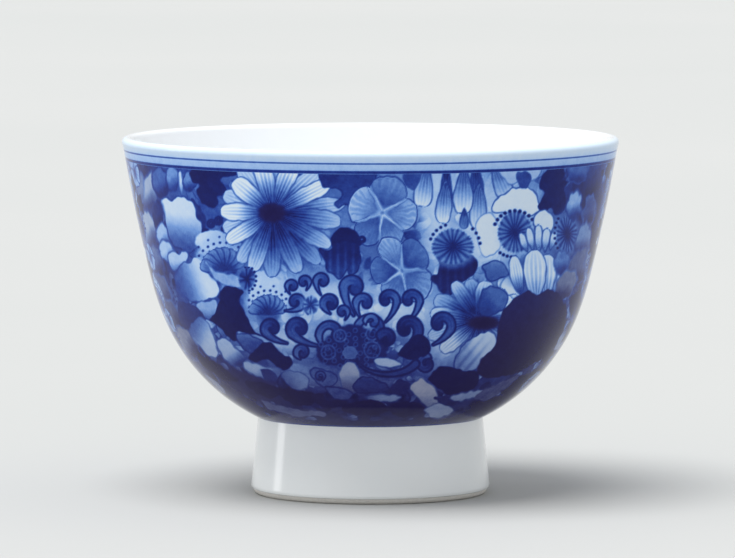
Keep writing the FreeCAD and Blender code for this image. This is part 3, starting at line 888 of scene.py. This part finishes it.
def paint_far_right():
    """The tulip-like bloom, the last pompom and the petals that turn away round the side."""
    leaf(Seen(31.2, 51.8), 0.92, [(-2.2, 1.4), (-1.7, 2.6), (-0.5, 3.8), (1.2, 4.1), (1.9, 2.9), (1.5, 1.7),
         (2.6, 1.4), (1.9, 0.3), (2.2, -0.9), (2.2, -2.6), (1.4, -4.1), (0.3, -4.1), (-0.3, -3.1),
         (-1.4, -3.8), (-2.6, -2.9), (-2.1, -1.7), (-1.4, -0.5), (-2.2, 0.3)], violet=0.1)
    leaf(Seen(29.7, 46.3), 0.04, [(-1.7, 1.0), (-0.7, 1.9), (0.7, 1.9), (1.5, 0.9), (1.4, -0.9),
         (0.7, -2.1), (-0.7, -1.9), (-1.5, -0.7)], rim=0.7)
    petals([
        (26.9, 41.2, 112, 3.6, 1.3, 0.45, 0.06),
        (27.8, 41.2, 100, 4.2, 1.4, 0.45, 0.06),
        (28.8, 41.2, 92, 4.6, 1.4, 0.45, 0.06),
        (29.8, 41.2, 84, 4.0, 1.4, 0.45, 0.06),
        (30.7, 41.6, 72, 3.4, 1.3, 0.45, 0.06),
    ], streaks=0.2, rim=0.75)
    pompom(Seen(33.6, 44.3), 1.88, 3.25, 0.55, ring=(120, 235, 9))
    petals([
        (25.7, 33.7, 100, 7.0, 2.4, 0.7, 0.05),
        (31.7, 33.7, 78, 6.6, 3.0, 0.4, 0.05),
        (30.0, 33.4, 88, 7.4, 3.4, 0.35, 0.05),
        (28.3, 33.0, 92, 8.6, 4.0, 0.3, 0.05),
    ], streaks=0.28, rim=0.72, full=0.5)
    lobes(
        (37.9, 53.9, 3.4, 1.6, 84, 0.75, 0.98, 0, 0),
        (35.5, 54.9, 2.0, 1.6, 70, 0.5, 0.8, 0.6, 0),
        (34.8, 49.2, 2.6, 1.3, 80, 0.2, 0.75, 0.7, 0),
        (37.4, 48.0, 3.0, 1.0, 80, 0.6, 0.92, 0.5, 0.3),
        (36.3, 43.3, 3.0, 1.3, 75, 0.3, 0.8, 0.6, 0.3),
        (35.5, 38.5, 3.4, 1.8, 70, 0.45, 0.85, 0.6, 0.7),
        (37.5, 39.5, 2.6, 0.9, 78, 0.35, 0.8, 0.6, 0.5),
        (32.7, 39.5, 2.2, 1.3, 80, 0.4, 0.75, 0.6, 0),
        (33.4, 35.6, 3.0, 1.6, 60, 0.3, 0.75, 0.5, 0.9),
    )
    leaf(Seen(35.5, 33.0), 0.97, [(-1.4, 0.0), (-0.3, 1.5), (0.9, 1.7), (1.0, 0.0), (-0.2, -2.7),
         (-1.2, -3.1)], violet=0.3)


def paint_belly():
    """The lower daisy, the great navy leaf and the small leaves low on the left."""
    petals([
        (23.0, 29.6, 25, 3.6, 2.2, 0.4, 0.08),
        (22.1, 29.9, 50, 5.0, 2.8, 0.5, 0.08),
    ], streaks=0.2, rim=0.7)
    daisy(Seen(18.6, 29.6), 7.86, 15, 6, (2.9, 1.25), base=0.82, tip=0.03, rim=0.68, gap=0.6,
          deep=(120, 0.3), violet=1.0, stretch=(0.14, 215), heart_shift=(0.8, -0.5))
    leaf(Seen(20.8, 33.0), 0.5, [(-2.2, -2.1), (-2.1, 0.3), (-0.9, 2.1), (0.9, 2.2), (2.4, 1.2),
         (2.7, -0.3), (1.0, -2.1), (-0.7, -2.7)], shade=(0.7, 215, 0.4), rim=0.8)
    leaf(Seen(18.0, 24.1), 0.05, [(-3.6, -2.9), (-3.6, -1.0), (-2.4, 0.9), (-0.3, 2.6), (2.1, 3.4),
         (3.4, 2.7), (3.4, 1.2), (2.1, -1.0), (0.0, -2.9), (-1.9, -3.6)], shade=(0.3, 215, 0.3), rim=0.78,
         veins=-0.16, aim=50)
    leaf(Seen(26.8, 27.2), 1.0, [(-5.1, -0.3), (-4.6, 2.7), (-3.2, 5.1), (-1.7, 6.5), (0.3, 7.3),
         (2.1, 6.8), (3.1, 7.5), (4.8, 7.2), (6.2, 5.5), (6.8, 3.1), (6.3, 0.5), (5.0, -1.9), (2.9, -3.9),
         (0.3, -5.6), (-2.6, -6.8), (-5.1, -7.5), (-7.3, -7.3), (-8.5, -6.2), (-7.9, -4.1), (-6.3, -2.9),
         (-5.3, -1.7)], violet=0.75, shade=(0.86, 118, 0.5))
    leaf(Seen(14.5, 19.3), 1.0, [(-4.1, 1.0), (-2.7, 2.4), (-0.7, 2.2), (1.7, 1.7), (3.6, 1.5), (3.9, 0.0),
         (3.2, -1.4), (1.9, -2.1), (0.0, -2.4), (-1.9, -2.1), (-3.2, -1.0), (-4.8, 0.0)], violet=0.15)
    leaf(Seen(-23.1, 31.0), 0.98, [(-2.4, 3.6), (-1.4, 4.4), (0.3, 4.1), (1.4, 3.4), (0.7, 2.2), (1.0, 0.7),
         (2.1, -1.2), (3.2, -3.1), (5.3, -4.4), (2.2, -3.8), (0.3, -3.6), (0.5, -5.0), (-1.2, -4.3),
         (-2.9, -2.4), (-4.4, -1.4), (-3.4, 0.0), (-2.7, 1.7)], violet=0.2)
    leaf(Seen(-20.6, 26.2), 0.62, [(-2.4, 1.0), (-0.3, 1.0), (2.1, -0.2), (1.7, -1.7), (0.0, -2.1),
         (-1.7, -1.0)], shade=(0.35, 90, 0.4), rim=0.85)
    leaf(Seen(-16.8, 23.4), 0.97, [(-1.7, 2.2), (-0.2, 2.2), (1.5, 0.7), (3.2, -0.3), (3.4, -1.4),
         (2.1, -2.2), (0.7, -1.7), (-1.0, -0.7), (-2.7, -1.0), (-3.8, -0.2), (-2.7, 1.0)], violet=0.1)
    leaf(Seen(-23.8, 23.8), 0.1, [(-2.6, 2.2), (-1.0, 2.7), (0.7, 1.2), (2.4, -0.7), (1.7, -2.2),
         (-0.3, -1.5), (-2.1, 0.2)], shade=(0.85, -60, 0.15), rim=0.6)
    leaf(Seen(-26.4, 21.7), 0.97, [(-3.2, 2.4), (-1.5, 1.4), (0.2, 0.5), (2.2, -0.9), (3.8, -2.4),
         (2.2, -2.6), (-0.3, -1.4), (-2.4, 0.3)], violet=0.8)
    leaf(Seen(-18.5, 21.4), 0.12, [(-3.2, 1.0), (-1.0, 0.7), (1.0, 0.3), (3.1, -0.3), (2.4, -1.7),
         (0.0, -1.7), (-2.4, -0.7)], shade=(0.5, -60, 0.2), rim=0.5)
    leaf(Seen(-18.5, 18.0), 0.97, [(-2.7, 1.2), (-0.3, 1.0), (2.4, 0.0), (3.4, -1.0), (1.4, -1.7),
         (-1.4, -0.7)], violet=0.6)
    leaf(Seen(-12.7, 16.6), 0.98, [(-3.1, 1.4), (-1.0, 1.9), (0.7, 1.0), (2.9, 0.5), (3.4, -1.0),
         (0.7, -1.7), (-2.1, -0.7)], violet=0.7)
    leaf(Seen(-6.9, 15.9), 0.93, [(-3.1, 0.7), (-0.7, 1.4), (1.0, 0.7), (3.1, -0.2), (1.0, -1.4),
         (-2.1, -1.0)], violet=0.5)
    leaf(Seen(-17.5, 20.2), 0.75, [(-1.4, 0.9), (0.0, 1.2), (1.4, 0.2), (1.4, -0.9), (-0.3, -0.9)])


def paint_lotus():
    """The scrolling lotus low on the front: tendrils, a seeded heart, and a bow below it."""
    for right, up, radius, start, sweep, width, tail, tone in (
        (-13.4, 35.4, 0.85, 180, -240, 1.03, 1.37, 0.6),
        (-11.3, 36.1, 0.85, 0, 220, 1.03, 1.37, 0.6),
        (-8.3, 36.3, 1.03, 180, -230, 1.23, 2.39, 0.6),
        (-12.7, 32.7, 1.2, 300, 260, 1.23, 2.39, 0.6),
        (-10.3, 32.0, 0.85, 180, -220, 0.82, 1.37, 0.45),
        (-6.9, 32.5, 1.2, 200, -250, 1.44, 1.71, 0.65),
        (-17.0, 28.2, 1.2, 225, -235, 1.64, 3.76, 0.7),
        (-12.4, 28.2, 1.37, 225, -240, 1.85, 4.44, 0.7),
        (-11.7, 24.1, 1.03, 200, -260, 1.23, 1.03, 0.6),
        (-3.0, 35.2, 1.54, 180, -215, 1.85, 4.79, 0.6),
        (-1.1, 32.5, 1.37, 175, -190, 1.44, 2.39, 0.6),
        (-4.7, 31.0, 0.85, 0, 230, 1.03, 1.37, 0.6),
        (3.0, 33.0, 1.54, -10, 205, 1.44, 3.76, 0.65),
        (6.9, 33.0, 1.54, -10, 205, 1.44, 3.76, 0.65),
        (6.4, 28.1, 1.88, -20, 215, 1.85, 1.71, 0.78),
        (12.1, 28.9, 1.88, -30, 220, 1.64, 3.76, 0.68),
        (-6.6, 27.2, 2.22, 185, -190, 1.44, 2.39, 0.6),
        (0.3, 27.9, 2.56, 160, -200, 1.44, 1.03, 0.6),
        (0.3, 29.3, 1.2, 170, -230, 1.03, 0.68, 0.5),
        (9.5, 22.1, 1.37, 80, 300, 1.23, 0.68, 0.65),
    ):
        curl(Seen(right, up), radius, start, sweep, width, tail, tone, shrink=0.36, light=0.12)
    for right, up, wide, high in (
        (-3.5, 24.5, 5.4, 3.2), (-6.9, 24.1, 2.4, 2.2), (0.3, 24.8, 2.8, 2.6), (-3.1, 26.5, 3.4, 2.4),
    ):
        spot = Spot(Seen(right, up), 9)
        edge, _ = lobed_edge(spot.u, spot.v, wide, high, 11, 0.08)
        spot.lay(filled(edge, 0.25), 0.84, 0.1)
    spot = Spot(Seen(-3.5, 24.6), 7)
    for k in range(34):
        a = 2.4 * k
        r = 0.72 * math.sqrt(k)
        x, y = r * 1.3 * math.cos(a), r * 0.8 * math.sin(a)
        ring = np.abs(np.hypot(spot.u - x, spot.v - y) - 0.36) - 0.07
        spot.lay(filled(ring, 0.14) * 0.7, 0.42)
        spot.lay(filled(np.hypot(spot.u - x, spot.v - y) - 0.12, 0.12) * 0.6, 0.95)
    for right, up, radius in ((-7.2, 24.1, 1.2), (0.3, 24.5, 1.37), (0.3, 27.2, 1.03), (-5.2, 26.9, 1.03)):
        spot = Spot(Seen(right, up), 3)
        reach = np.hypot(spot.u, spot.v)
        spot.lay(filled(np.abs(reach - radius) - 0.14, 0.14) * 0.7, 0.45)
        spot.lay(filled(np.abs(reach - radius * 0.5) - 0.1) * 0.6, 0.5)
    spot = Spot(Seen(-3.5, 24.0), 3)
    heart, _ = lobed_edge(spot.u, spot.v, 1.25, 1.1, 6, 0.12)
    spot.lay(filled(heart, 0.15), 0.5)
    spot.line(heart, 0.16, 0.3, 0.6)
    curl(Seen(2.7, 26.5), 1.11, 150, -240, 1.71, tail=0.85, tone=0.8, shrink=0.3, light=0.08)
    pompom(Seen(-10.2, 32.2), 1.37, 1.54, 0.42, rays=16)
    leaf(Seen(7.6, 25.0), 0.97, [(-3.1, -1.2), (-1.7, 0.3), (-0.5, 1.5), (0.9, 2.2), (2.2, 1.4),
         (2.7, -0.5), (1.7, -1.7), (-0.2, -2.2), (-1.9, -1.9)])
    spot = Spot(Seen(3.3, 21.7), 7)
    bow = np.radians(np.linspace(200, 330, 12))
    path = [(5.6 * math.cos(a) - 0.4, 3.6 * math.sin(a) + 2.2) for a in bow]
    edge, _ = stroke_edge(spot.u, spot.v, path, list(np.linspace(0.6, 1.7, 12)))
    spot.lay(filled(edge), 0.92)
    spot.lay(filled(edge + 0.36) * 0.75, 0.6)
    leaf(Seen(3.0, 22.4), 0.1, [(-2.4, 0.3), (-0.7, 0.9), (1.4, 0.5), (2.4, -0.5), (0.7, -1.0),
         (-1.4, -0.7)], rim=0.75)


def paint_bottom():
    """The small leaves and curls just above the foot."""
    for right, up, start, sweep in (
        (-6.9, 16.8, 20, -200), (-3.1, 16.3, 200, 210), (5.7, 16.3, 10, -200), (-14.8, 19.0, 180, 200),
    ):
        curl(Seen(right, up), 0.68, start, sweep, 1.03, 1.37, 0.85, light=0)
    leaf(Seen(-3.5, 19.7), 0.12, [(-1.4, 2.1), (0.7, 2.6), (1.7, 0.3), (1.2, -2.2), (-0.5, -2.6),
         (-1.7, -0.7)], rim=0.6, shade=(0.5, -90, 0.3), violet=0.3)
    leaf(Seen(-7.8, 19.7), 0.5, [(-2.6, 1.0), (-1.2, 1.7), (0.9, 1.0), (2.2, -0.3), (0.9, -1.4),
         (-1.2, -1.0)], rim=0.85)
    curl(Seen(-8.6, 20.0), 0.7, 0, 280, 0.6, tail=0.8, tone=0.6)
    leaf(Seen(-12.0, 19.3), 0.25, [(-3.1, 1.0), (-0.7, 1.4), (1.4, 0.3), (1.0, -1.4), (-1.4, -1.4)],
         shade=(0.5, 200, 0.2), rim=0.6)
    leaf(Seen(0.3, 18.3), 0.78, [(-3.4, 0.0), (-1.7, 1.5), (0.7, 1.0), (3.1, -0.7), (0.7, -1.2),
         (-2.1, -1.2)], shade=(0.6, 90, 0.4), rim=0.95)
    leaf(Seen(4.9, 18.0), 0.85, [(-2.6, -1.0), (-1.2, 0.3), (0.0, 1.5), (1.9, 0.7), (1.5, -0.5),
         (-0.2, -1.2)])
    leaf(Seen(9.2, 16.9), 0.06, [(-2.4, 1.0), (-0.7, 2.6), (1.0, 1.9), (2.2, 0.2), (2.4, -1.7), (1.0, -2.6),
         (-0.7, -0.9)], rim=0.6, shade=(0.25, -90, 0.2), violet=0.5)
    leaf(Seen(1.3, 16.1), 0.2, [(-2.4, 0.3), (0.3, 0.9), (3.8, 0.5), (3.1, -0.3), (0.0, -0.5)], rim=0.6,
         shade=(0.6, 180, 0.2))
    leaf(Seen(-5.2, 17.3), 0.55, [(-2.4, 0.7), (0.0, 0.7), (2.1, -0.3), (1.0, -1.2), (-1.4, -0.7)], rim=0.9)
    leaf(Seen(-0.8, 14.6), 0.97, [(-4.1, 0.0), (-1.7, 1.0), (1.0, 1.4), (3.1, 0.7), (4.1, -0.5),
         (0.7, -1.4), (-2.7, -1.0)], violet=0.7)
    leaf(Seen(6.1, 14.4), 0.95, [(-3.4, 0.2), (-1.7, 1.0), (0.7, 1.2), (3.1, 0.3), (2.1, -0.9),
         (-1.4, -1.2)], violet=0.6)
    leaf(Seen(25.6, 19.0), 0.96, [(-3.4, -0.7), (-1.4, 0.7), (1.0, 1.4), (3.4, 2.1), (2.7, 0.3),
         (0.0, -1.4), (-2.4, -2.4)], violet=0.6)
    leaf(Seen(20.4, 15.6), 0.94, [(-3.4, -0.3), (-1.0, 0.7), (1.7, 1.0), (3.1, 0.7), (0.7, -1.0),
         (-2.4, -1.7)], violet=0.6)
    leaf(Seen(11.6, 14.2), 0.1, [(-2.4, 0.0), (0.0, 1.2), (2.6, 0.3), (2.1, -0.7), (-0.3, -1.4)], rim=0.5)
    leaf(Seen(12.9, 15.6), 0.8, [(-2.1, 0.7), (0.3, 0.9), (4.1, 1.4), (2.7, 0.0), (0.3, -0.7)])
    leaf(Seen(17.0, 16.6), 0.15, [(-3.1, -0.3), (0.0, 0.9), (2.7, 1.0), (1.7, 0.0), (-1.4, -1.0)], rim=0.6)
    leaf(Seen(-13.7, 14.2), 0.4, [(-4.8, 1.7), (0.0, 0.3), (5.1, -0.3), (5.8, -1.0), (1.0, -1.0),
         (-3.8, 0.3)], violet=0.4)
    leaf(Seen(20.4, 17.3), 0.5, [(-2.7, -1.0), (0.0, 1.0), (3.8, 2.4), (5.1, 2.7), (2.7, 0.7),
         (-0.3, -1.4)], violet=0.5)


paint_ground()
paint_round()
paint_front_ground()
paint_far_left()
paint_left()
paint_middle()
paint_right()
paint_far_right()
paint_belly()
paint_lotus()
paint_bottom()
paint_sides()

# Under the glaze the cobalt has fired stronger all over. Low on the cup it is darker and more purple, partly
# deeper cobalt and partly painted shade where the lower bowl turns down from the light: not yet at
# LOW_STARTS, fully at LOW_ENDS.
LOW_STARTS = 35
LOW_ENDS = 18
low_shade_and_depth = np.clip((LOW_STARTS - field.z) / (LOW_STARTS - LOW_ENDS), 0, 1)[:, None]
field.cobalt += (0.24 + 0.1 * field.brushed) * field.cobalt * (1 - field.cobalt)
# Painted shade with deeper cobalt low on the cup: more cobalt, and more violet to grey it.
field.cobalt += 0.16 * low_shade_and_depth * (1 - field.cobalt)
field.violet += 0.8 * low_shade_and_depth
field.cobalt = np.clip(field.cobalt, 0, 1)
field.violet = np.clip(field.violet, 0, 1)


# ---- materials

# The colours of cobalt from bare porcelain to its darkest, where it has fired blue and where purple.
TONES = [
    (0.0, (0.71, 0.81, 0.89)),
    (0.12, (0.42, 0.595, 0.88)),
    (0.3, (0.172, 0.34, 0.74)),
    (0.5, (0.06, 0.152, 0.5)),
    (0.7, (0.018, 0.056, 0.33)),
    (0.85, (0.008, 0.02, 0.19)),
    (1.0, (0.005, 0.007, 0.095)),
]
VIOLET_TONES = [
    (0.0, (0.36, 0.32, 0.37)),
    (0.35, (0.12, 0.11, 0.2)),
    (0.7, (0.028, 0.018, 0.09)),
    (1.0, (0.012, 0.005, 0.05)),
]


class Nodes:
    """A new material, with short ways to add its shader nodes and link their sockets."""

    def __init__(self, name):
        self.material = bpy.data.materials.new(name)
        self.material.use_nodes = True
        self.tree = self.material.node_tree
        self.tree.nodes.clear()

    def add(self, kind, inputs=None, **settings):
        node = self.tree.nodes.new(kind)
        for key, value in settings.items():
            setattr(node, key, value)
        for key, value in (inputs or {}).items():
            if isinstance(value, bpy.types.NodeSocket):
                self.tree.links.new(value, node.inputs[key])
            else:
                node.inputs[key].default_value = value
        return node

    def noise(self, scale, detail=2.0, roughness=0.5):
        """Noise from 0 to 1, with about scale features to a metre."""
        place = self.add("ShaderNodeTexCoord").outputs["Object"]
        return self.add("ShaderNodeTexNoise", {"Vector": place, "Scale": scale, "Detail": detail,
                                               "Roughness": roughness}).outputs["Fac"]

    def math(self, operation, a, b, clamp=False):
        return self.add("ShaderNodeMath", {0: a, 1: b}, operation=operation, use_clamp=clamp).outputs[0]

    def ramp(self, value, stops):
        node = self.add("ShaderNodeValToRGB", {"Fac": value})
        ramp = node.color_ramp
        while len(ramp.elements) < len(stops):
            ramp.elements.new(0.5)
        for element, (position, colour) in zip(ramp.elements, stops):
            element.position = position
            element.color = (*colour, 1.0)
        return node.outputs["Color"]

    def mix(self, share, a, b):
        """Colour a where share is 0, b where it is 1."""
        node = self.add("ShaderNodeMix", data_type="RGBA")
        for socket, value in (("Factor", share), ("A", a), ("B", b)):
            sockets = [s for s in node.inputs if s.name == socket and s.enabled]
            target = sockets[0]
            if isinstance(value, bpy.types.NodeSocket):
                self.tree.links.new(value, target)
            else:
                target.default_value = (*value, 1.0) if socket != "Factor" else value
        return [s for s in node.outputs if s.enabled][0]

    def surface(self, colour, roughness, height=None, bump=0.0, distance=0.0, coat=0.0, ior=1.5):
        """Finishes the material; height, if given, makes bumps of that strength and distance in metres."""
        inputs = {"Base Color": colour, "Roughness": roughness}
        if height is not None:
            relief = {"Height": height, "Strength": bump, "Distance": distance}
            inputs["Normal"] = self.add("ShaderNodeBump", relief).outputs["Normal"]
        shader = self.add("ShaderNodeBsdfPrincipled", inputs)
        shader.inputs["Coat Weight"].default_value = coat
        shader.inputs["Coat Roughness"].default_value = 0.03
        shader.inputs["IOR"].default_value = ior
        self.add("ShaderNodeOutputMaterial", {"Surface": shader.outputs["BSDF"]})
        return self.material


def painted_material(name):
    """Cobalt under a smooth glaze, by the piece's own cobalt and violet values, grainy where it pools."""
    look = Nodes(name)
    cobalt = look.add("ShaderNodeAttribute", attribute_name="cobalt").outputs["Fac"]
    violet = look.add("ShaderNodeAttribute", attribute_name="violet").outputs["Fac"]
    pooling = look.noise(700.0, 3.0, 0.6)
    grain = look.noise(3200.0, 2.0, 0.5)
    pooled = look.math("MULTIPLY", look.math("SUBTRACT", pooling, 0.5), 0.26)
    grainy = look.math("MULTIPLY", look.math("SUBTRACT", grain, 0.5), 0.16)
    uneven = look.math("ADD", pooled, grainy)
    strength = look.math("MULTIPLY", look.math("MULTIPLY", cobalt, look.math("SUBTRACT", 1.15, cobalt)), 2.6)
    tone = look.math("ADD", cobalt, look.math("MULTIPLY", uneven, strength), clamp=True)
    colour = look.ramp(tone, TONES)
    share = look.math("MULTIPLY", violet, 0.75, clamp=True)
    colour = look.mix(share, colour, look.ramp(tone, VIOLET_TONES))
    return look.surface(colour, 0.08, look.noise(160.0, 2.0), 0.05, 0.0003, ior=1.22)


def glaze_material(name, bare, pooled, roughness):
    """Clear gloss glaze over white porcelain, slightly bluer where it lies thicker."""
    look = Nodes(name)
    colour = look.mix(look.noise(90.0, 3.0), bare, pooled)
    return look.surface(colour, roughness, look.noise(160.0, 2.0), 0.05, 0.0003, coat=0.2)


def biscuit_material(name):
    """Matt fired clay, unglazed, faintly warm and speckled."""
    look = Nodes(name)
    colour = look.mix(look.noise(1500.0, 4.0, 0.7), (0.62, 0.59, 0.54), (0.80, 0.78, 0.74))
    return look.surface(colour, 0.75, look.noise(2500.0, 4.0), 0.3, 0.0002)


painted = painted_material("painted_porcelain")
white_glaze = glaze_material("white_glaze", (0.86, 0.87, 0.88), (0.82, 0.85, 0.88), 0.08)
foot_white = glaze_material("foot_glaze_white", (0.88, 0.90, 0.90), (0.84, 0.87, 0.88), 0.16)
biscuit = biscuit_material("bare_porcelain")


# ---- the pieces

LINE_COLUMNS = 768
INSIDE_COLUMNS = 720
FOOT_COLUMNS = 720
WELL_COLUMNS = 480
# How far below the bowl's base the well's coat ends.
SEAT_GAP = 0.02


def finish_piece(piece, material, slot, *nodes):
    """Gives a piece its material and puts it in the place of its CAD nodes. slot is not used."""
    piece.data.materials.append(material)
    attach(piece, "root")
    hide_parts(*nodes)


def wall_band(name, start, end, spacing):
    """A ring of glaze on the outer wall between two distances below the crest, and how many rows it has."""
    outer = outside.stretch(start, end, spacing)
    inner = outside.stretch(start, end, 3.0, GLAZE_DEPTH)
    return turned(name, shell_section(outer, inner), LINE_COLUMNS), len(outer)


def finish_band(piece, rows, cobalt, violet, slot, node):
    """Gives a band its cobalt, as rows from its lower edge up and columns round it, and finishes it."""
    give_values(piece, "cobalt", np.broadcast_to(cobalt, (rows, LINE_COLUMNS)))
    give_values(piece, "violet", np.broadcast_to(violet, (rows, LINE_COLUMNS)))
    finish_piece(piece, painted, slot, node)


field_front = np.stack([field.r, field.z], axis=1)[::-1]
field_back = outside.stretch(LOWER_BOTTOM, FIELD_BOTTOM, 3.0, GLAZE_DEPTH)
painted_bowl = turned("painted_bowl", shell_section(field_front, field_back), FIELD_COLUMNS)
give_values(painted_bowl, "cobalt", field.cobalt)
give_values(painted_bowl, "violet", field.violet)
finish_piece(painted_bowl, painted, "cobalt_painting", "flower_painting")


def brush_line(name, start, end, peak, edge_tone, node, seed, violet=0.0):
    """A line brushed round the cup while it turns: darkest in its middle, a little uneven."""
    piece, rows = wall_band(name, start, end, 0.05)
    draw = np.random.default_rng(seed)
    around = np.arange(LINE_COLUMNS) * 2 * math.pi / LINE_COLUMNS
    wobble = np.zeros(LINE_COLUMNS)
    for waves in (1, 2, 3, 5, 8, 13, 21):
        wobble += draw.uniform(0.3, 1.0) / waves * np.sin(waves * around + draw.uniform(0, 6.3))
    across = np.linspace(-1, 1, rows)[:, None] + 0.12 * wobble[None, :]
    body = np.clip(1.25 * (1 - np.abs(across) ** 2.2), 0, 1)
    values = edge_tone + (peak + 0.06 * wobble - edge_tone) * body
    finish_band(piece, rows, np.clip(values, 0, 1), violet, "cobalt_line", node)


def plain_band(name, start, end, top_tone, bottom_tone):
    """A band of the outer glaze, faintly tinted, from its top edge to its bottom one."""
    piece, rows = wall_band(name, start, end, 0.08)
    t = np.linspace(0, 1, rows)[:, None]
    cobalt = bottom_tone + (top_tone - bottom_tone) * t ** 0.6
    finish_band(piece, rows, cobalt, 0.0, "outer_glaze", "outer_glaze")


plain_band("lip_glaze", 0.0, UPPER_TOP, 0.0, 0.12)
brush_line("upper_rim_line", UPPER_TOP, UPPER_BOTTOM, 0.62, 0.15, "rim_line_upper", 21)
plain_band("glaze_between_lines", UPPER_BOTTOM, LOWER_TOP, 0.16, 0.22)
brush_line("lower_rim_line", LOWER_TOP, LOWER_BOTTOM, 0.8, 0.3, "rim_line_lower", 22)
brush_line("foot_corner_line", FIELD_BOTTOM, JOINT, 0.85, 0.5, "foot_line", 23, 0.3)

inner_points = inside.stretch(0.0, inside.starts[-1], 0.25)
inner_back = inside.stretch(0.0, inside.starts[-1], 2.0, GLAZE_DEPTH)
inner_ends = [(0.0, inner_back[-1, 1])], [(0.0, inner_points[-1, 1])]
inner_section = np.concatenate([inner_ends[0], inner_back[::-1], inner_points, inner_ends[1]])
bowl_inside = turned("bowl_inside", inner_section, INSIDE_COLUMNS)
finish_piece(bowl_inside, white_glaze, "inner_glaze", "inner_glaze")

joint_r, joint_z = (float(value[0]) for value in outside.at(JOINT)[:2])
foot_low = FOOT_ROUND + COAT_DEPTH
heights = np.linspace(joint_z, foot_low, 40)
foot_outer = np.stack([np.interp(heights, [foot_low, joint_z], [FOOT_RADIUS, joint_r]), heights], axis=1)
corner_in, corner_down = FOOT_CORNER
foot_edge = [(FOOT_RADIUS - corner_in, foot_low - corner_down), (FOOT_RADIUS - COAT_DEPTH, FOOT_ROUND)]
foot_inner = foot_outer[::-1] - [COAT_DEPTH, 0.0]
foot_section = np.concatenate([foot_outer, foot_edge, foot_inner[1:]])
foot_outside = turned("foot_outside", foot_section[::-1], FOOT_COLUMNS)
finish_piece(foot_outside, foot_white, "foot_glaze", "foot_glaze")

seat = top_of("foot_well_glaze")
roof = seat - COAT_DEPTH
corner_angles = np.radians(np.linspace(90, 0, 12))
corner_at = np.array([WELL_TOP_RADIUS, roof]) - WELL_CORNER
corner = corner_at + WELL_CORNER * np.stack([np.cos(corner_angles), np.sin(corner_angles)], axis=1)
well = np.concatenate([
    [(r, roof) for r in (0.0, *np.linspace(1.0, WELL_TOP_RADIUS - WELL_CORNER, 12)[:-1])],
    corner,
    [(WELL_RADIUS, foot_low),
     (WELL_RADIUS + corner_in, foot_low - corner_down),
     (WELL_RADIUS + COAT_DEPTH, FOOT_ROUND),
     (WELL_TOP_RADIUS + COAT_DEPTH, seat - SEAT_GAP),
     (0.0, seat - SEAT_GAP)],
])
foot_well = turned("foot_well", well[::-1], WELL_COLUMNS)
finish_piece(foot_well, foot_white, "foot_glaze", "foot_well_glaze")

for node in ("bowl_body", "luting_slip", "foot_ring"):
    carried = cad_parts[node]
    carried.data.materials.clear()
    carried.data.materials.append(biscuit)


# ---- studio, in metres

CAMERA_AT = Vector((0.0, -CAMERA_AWAY, CAMERA_HEIGHT)) * MM
LOOK_AT = Vector((LOOK_AT_RIGHT, 0.0, LOOK_AT_HEIGHT)) * MM
WINDOW_AT = Vector((-4.8, 1.06, 1.1))
WINDOW_TOWARD = Vector((0.0, 0.0, 0.03))
SKY_DIRECTION = Vector((0.2, 0.22, -1.0))

scene = bpy.context.scene
scene.view_settings.view_transform = "Standard"


def facing(direction):
    """The turn that makes a camera or a light face along a direction."""
    return direction.to_track_quat("-Z", "Y").to_euler()


camera_data = bpy.data.cameras.new("camera")
camera_data.lens = 345.0
camera_data.sensor_width = 36.0
camera_data.clip_start = 0.05
camera_data.clip_end = 20.0
camera = bpy.data.objects.new("camera", camera_data)
camera.location = CAMERA_AT
camera.rotation_euler = facing(LOOK_AT - CAMERA_AT)
scene.collection.objects.link(camera)
scene.camera = camera

window_data = bpy.data.lights.new("window_left", "AREA")
window_data.shape = "RECTANGLE"
window_data.size = 1.0
window_data.size_y = 2.9
window_data.energy = 30.0
window = bpy.data.objects.new("window_left", window_data)
window.location = WINDOW_AT
window.rotation_euler = facing(WINDOW_TOWARD - WINDOW_AT)
scene.collection.objects.link(window)

world = bpy.data.worlds.new("studio")
scene.world = world
world.use_nodes = True
background = world.node_tree.nodes["Background"]
background.inputs["Color"].default_value = (0.96, 0.98, 1.0, 1.0)
background.inputs["Strength"].default_value = 0.74

sun_data = bpy.data.lights.new("skylight", "SUN")
sun_data.energy = 2.95
sun_data.angle = math.radians(40)
sun = bpy.data.objects.new("skylight", sun_data)
sun.rotation_euler = facing(SKY_DIRECTION)
scene.collection.objects.link(sun)

floor_mesh = bpy.data.meshes.new("floor")
floor_mesh.from_pydata([(-6, -6, 0), (6, -6, 0), (6, 9, 0), (-6, 9, 0)], [], [(0, 1, 2, 3)])
floor = bpy.data.objects.new("floor", floor_mesh)
scene.collection.objects.link(floor)
paper = Nodes("studio_floor")
paper_colour = paper.mix(paper.noise(3.0), (0.46, 0.47, 0.46), (0.50, 0.50, 0.49))
floor_mesh.materials.append(paper.surface(paper_colour, 0.9))
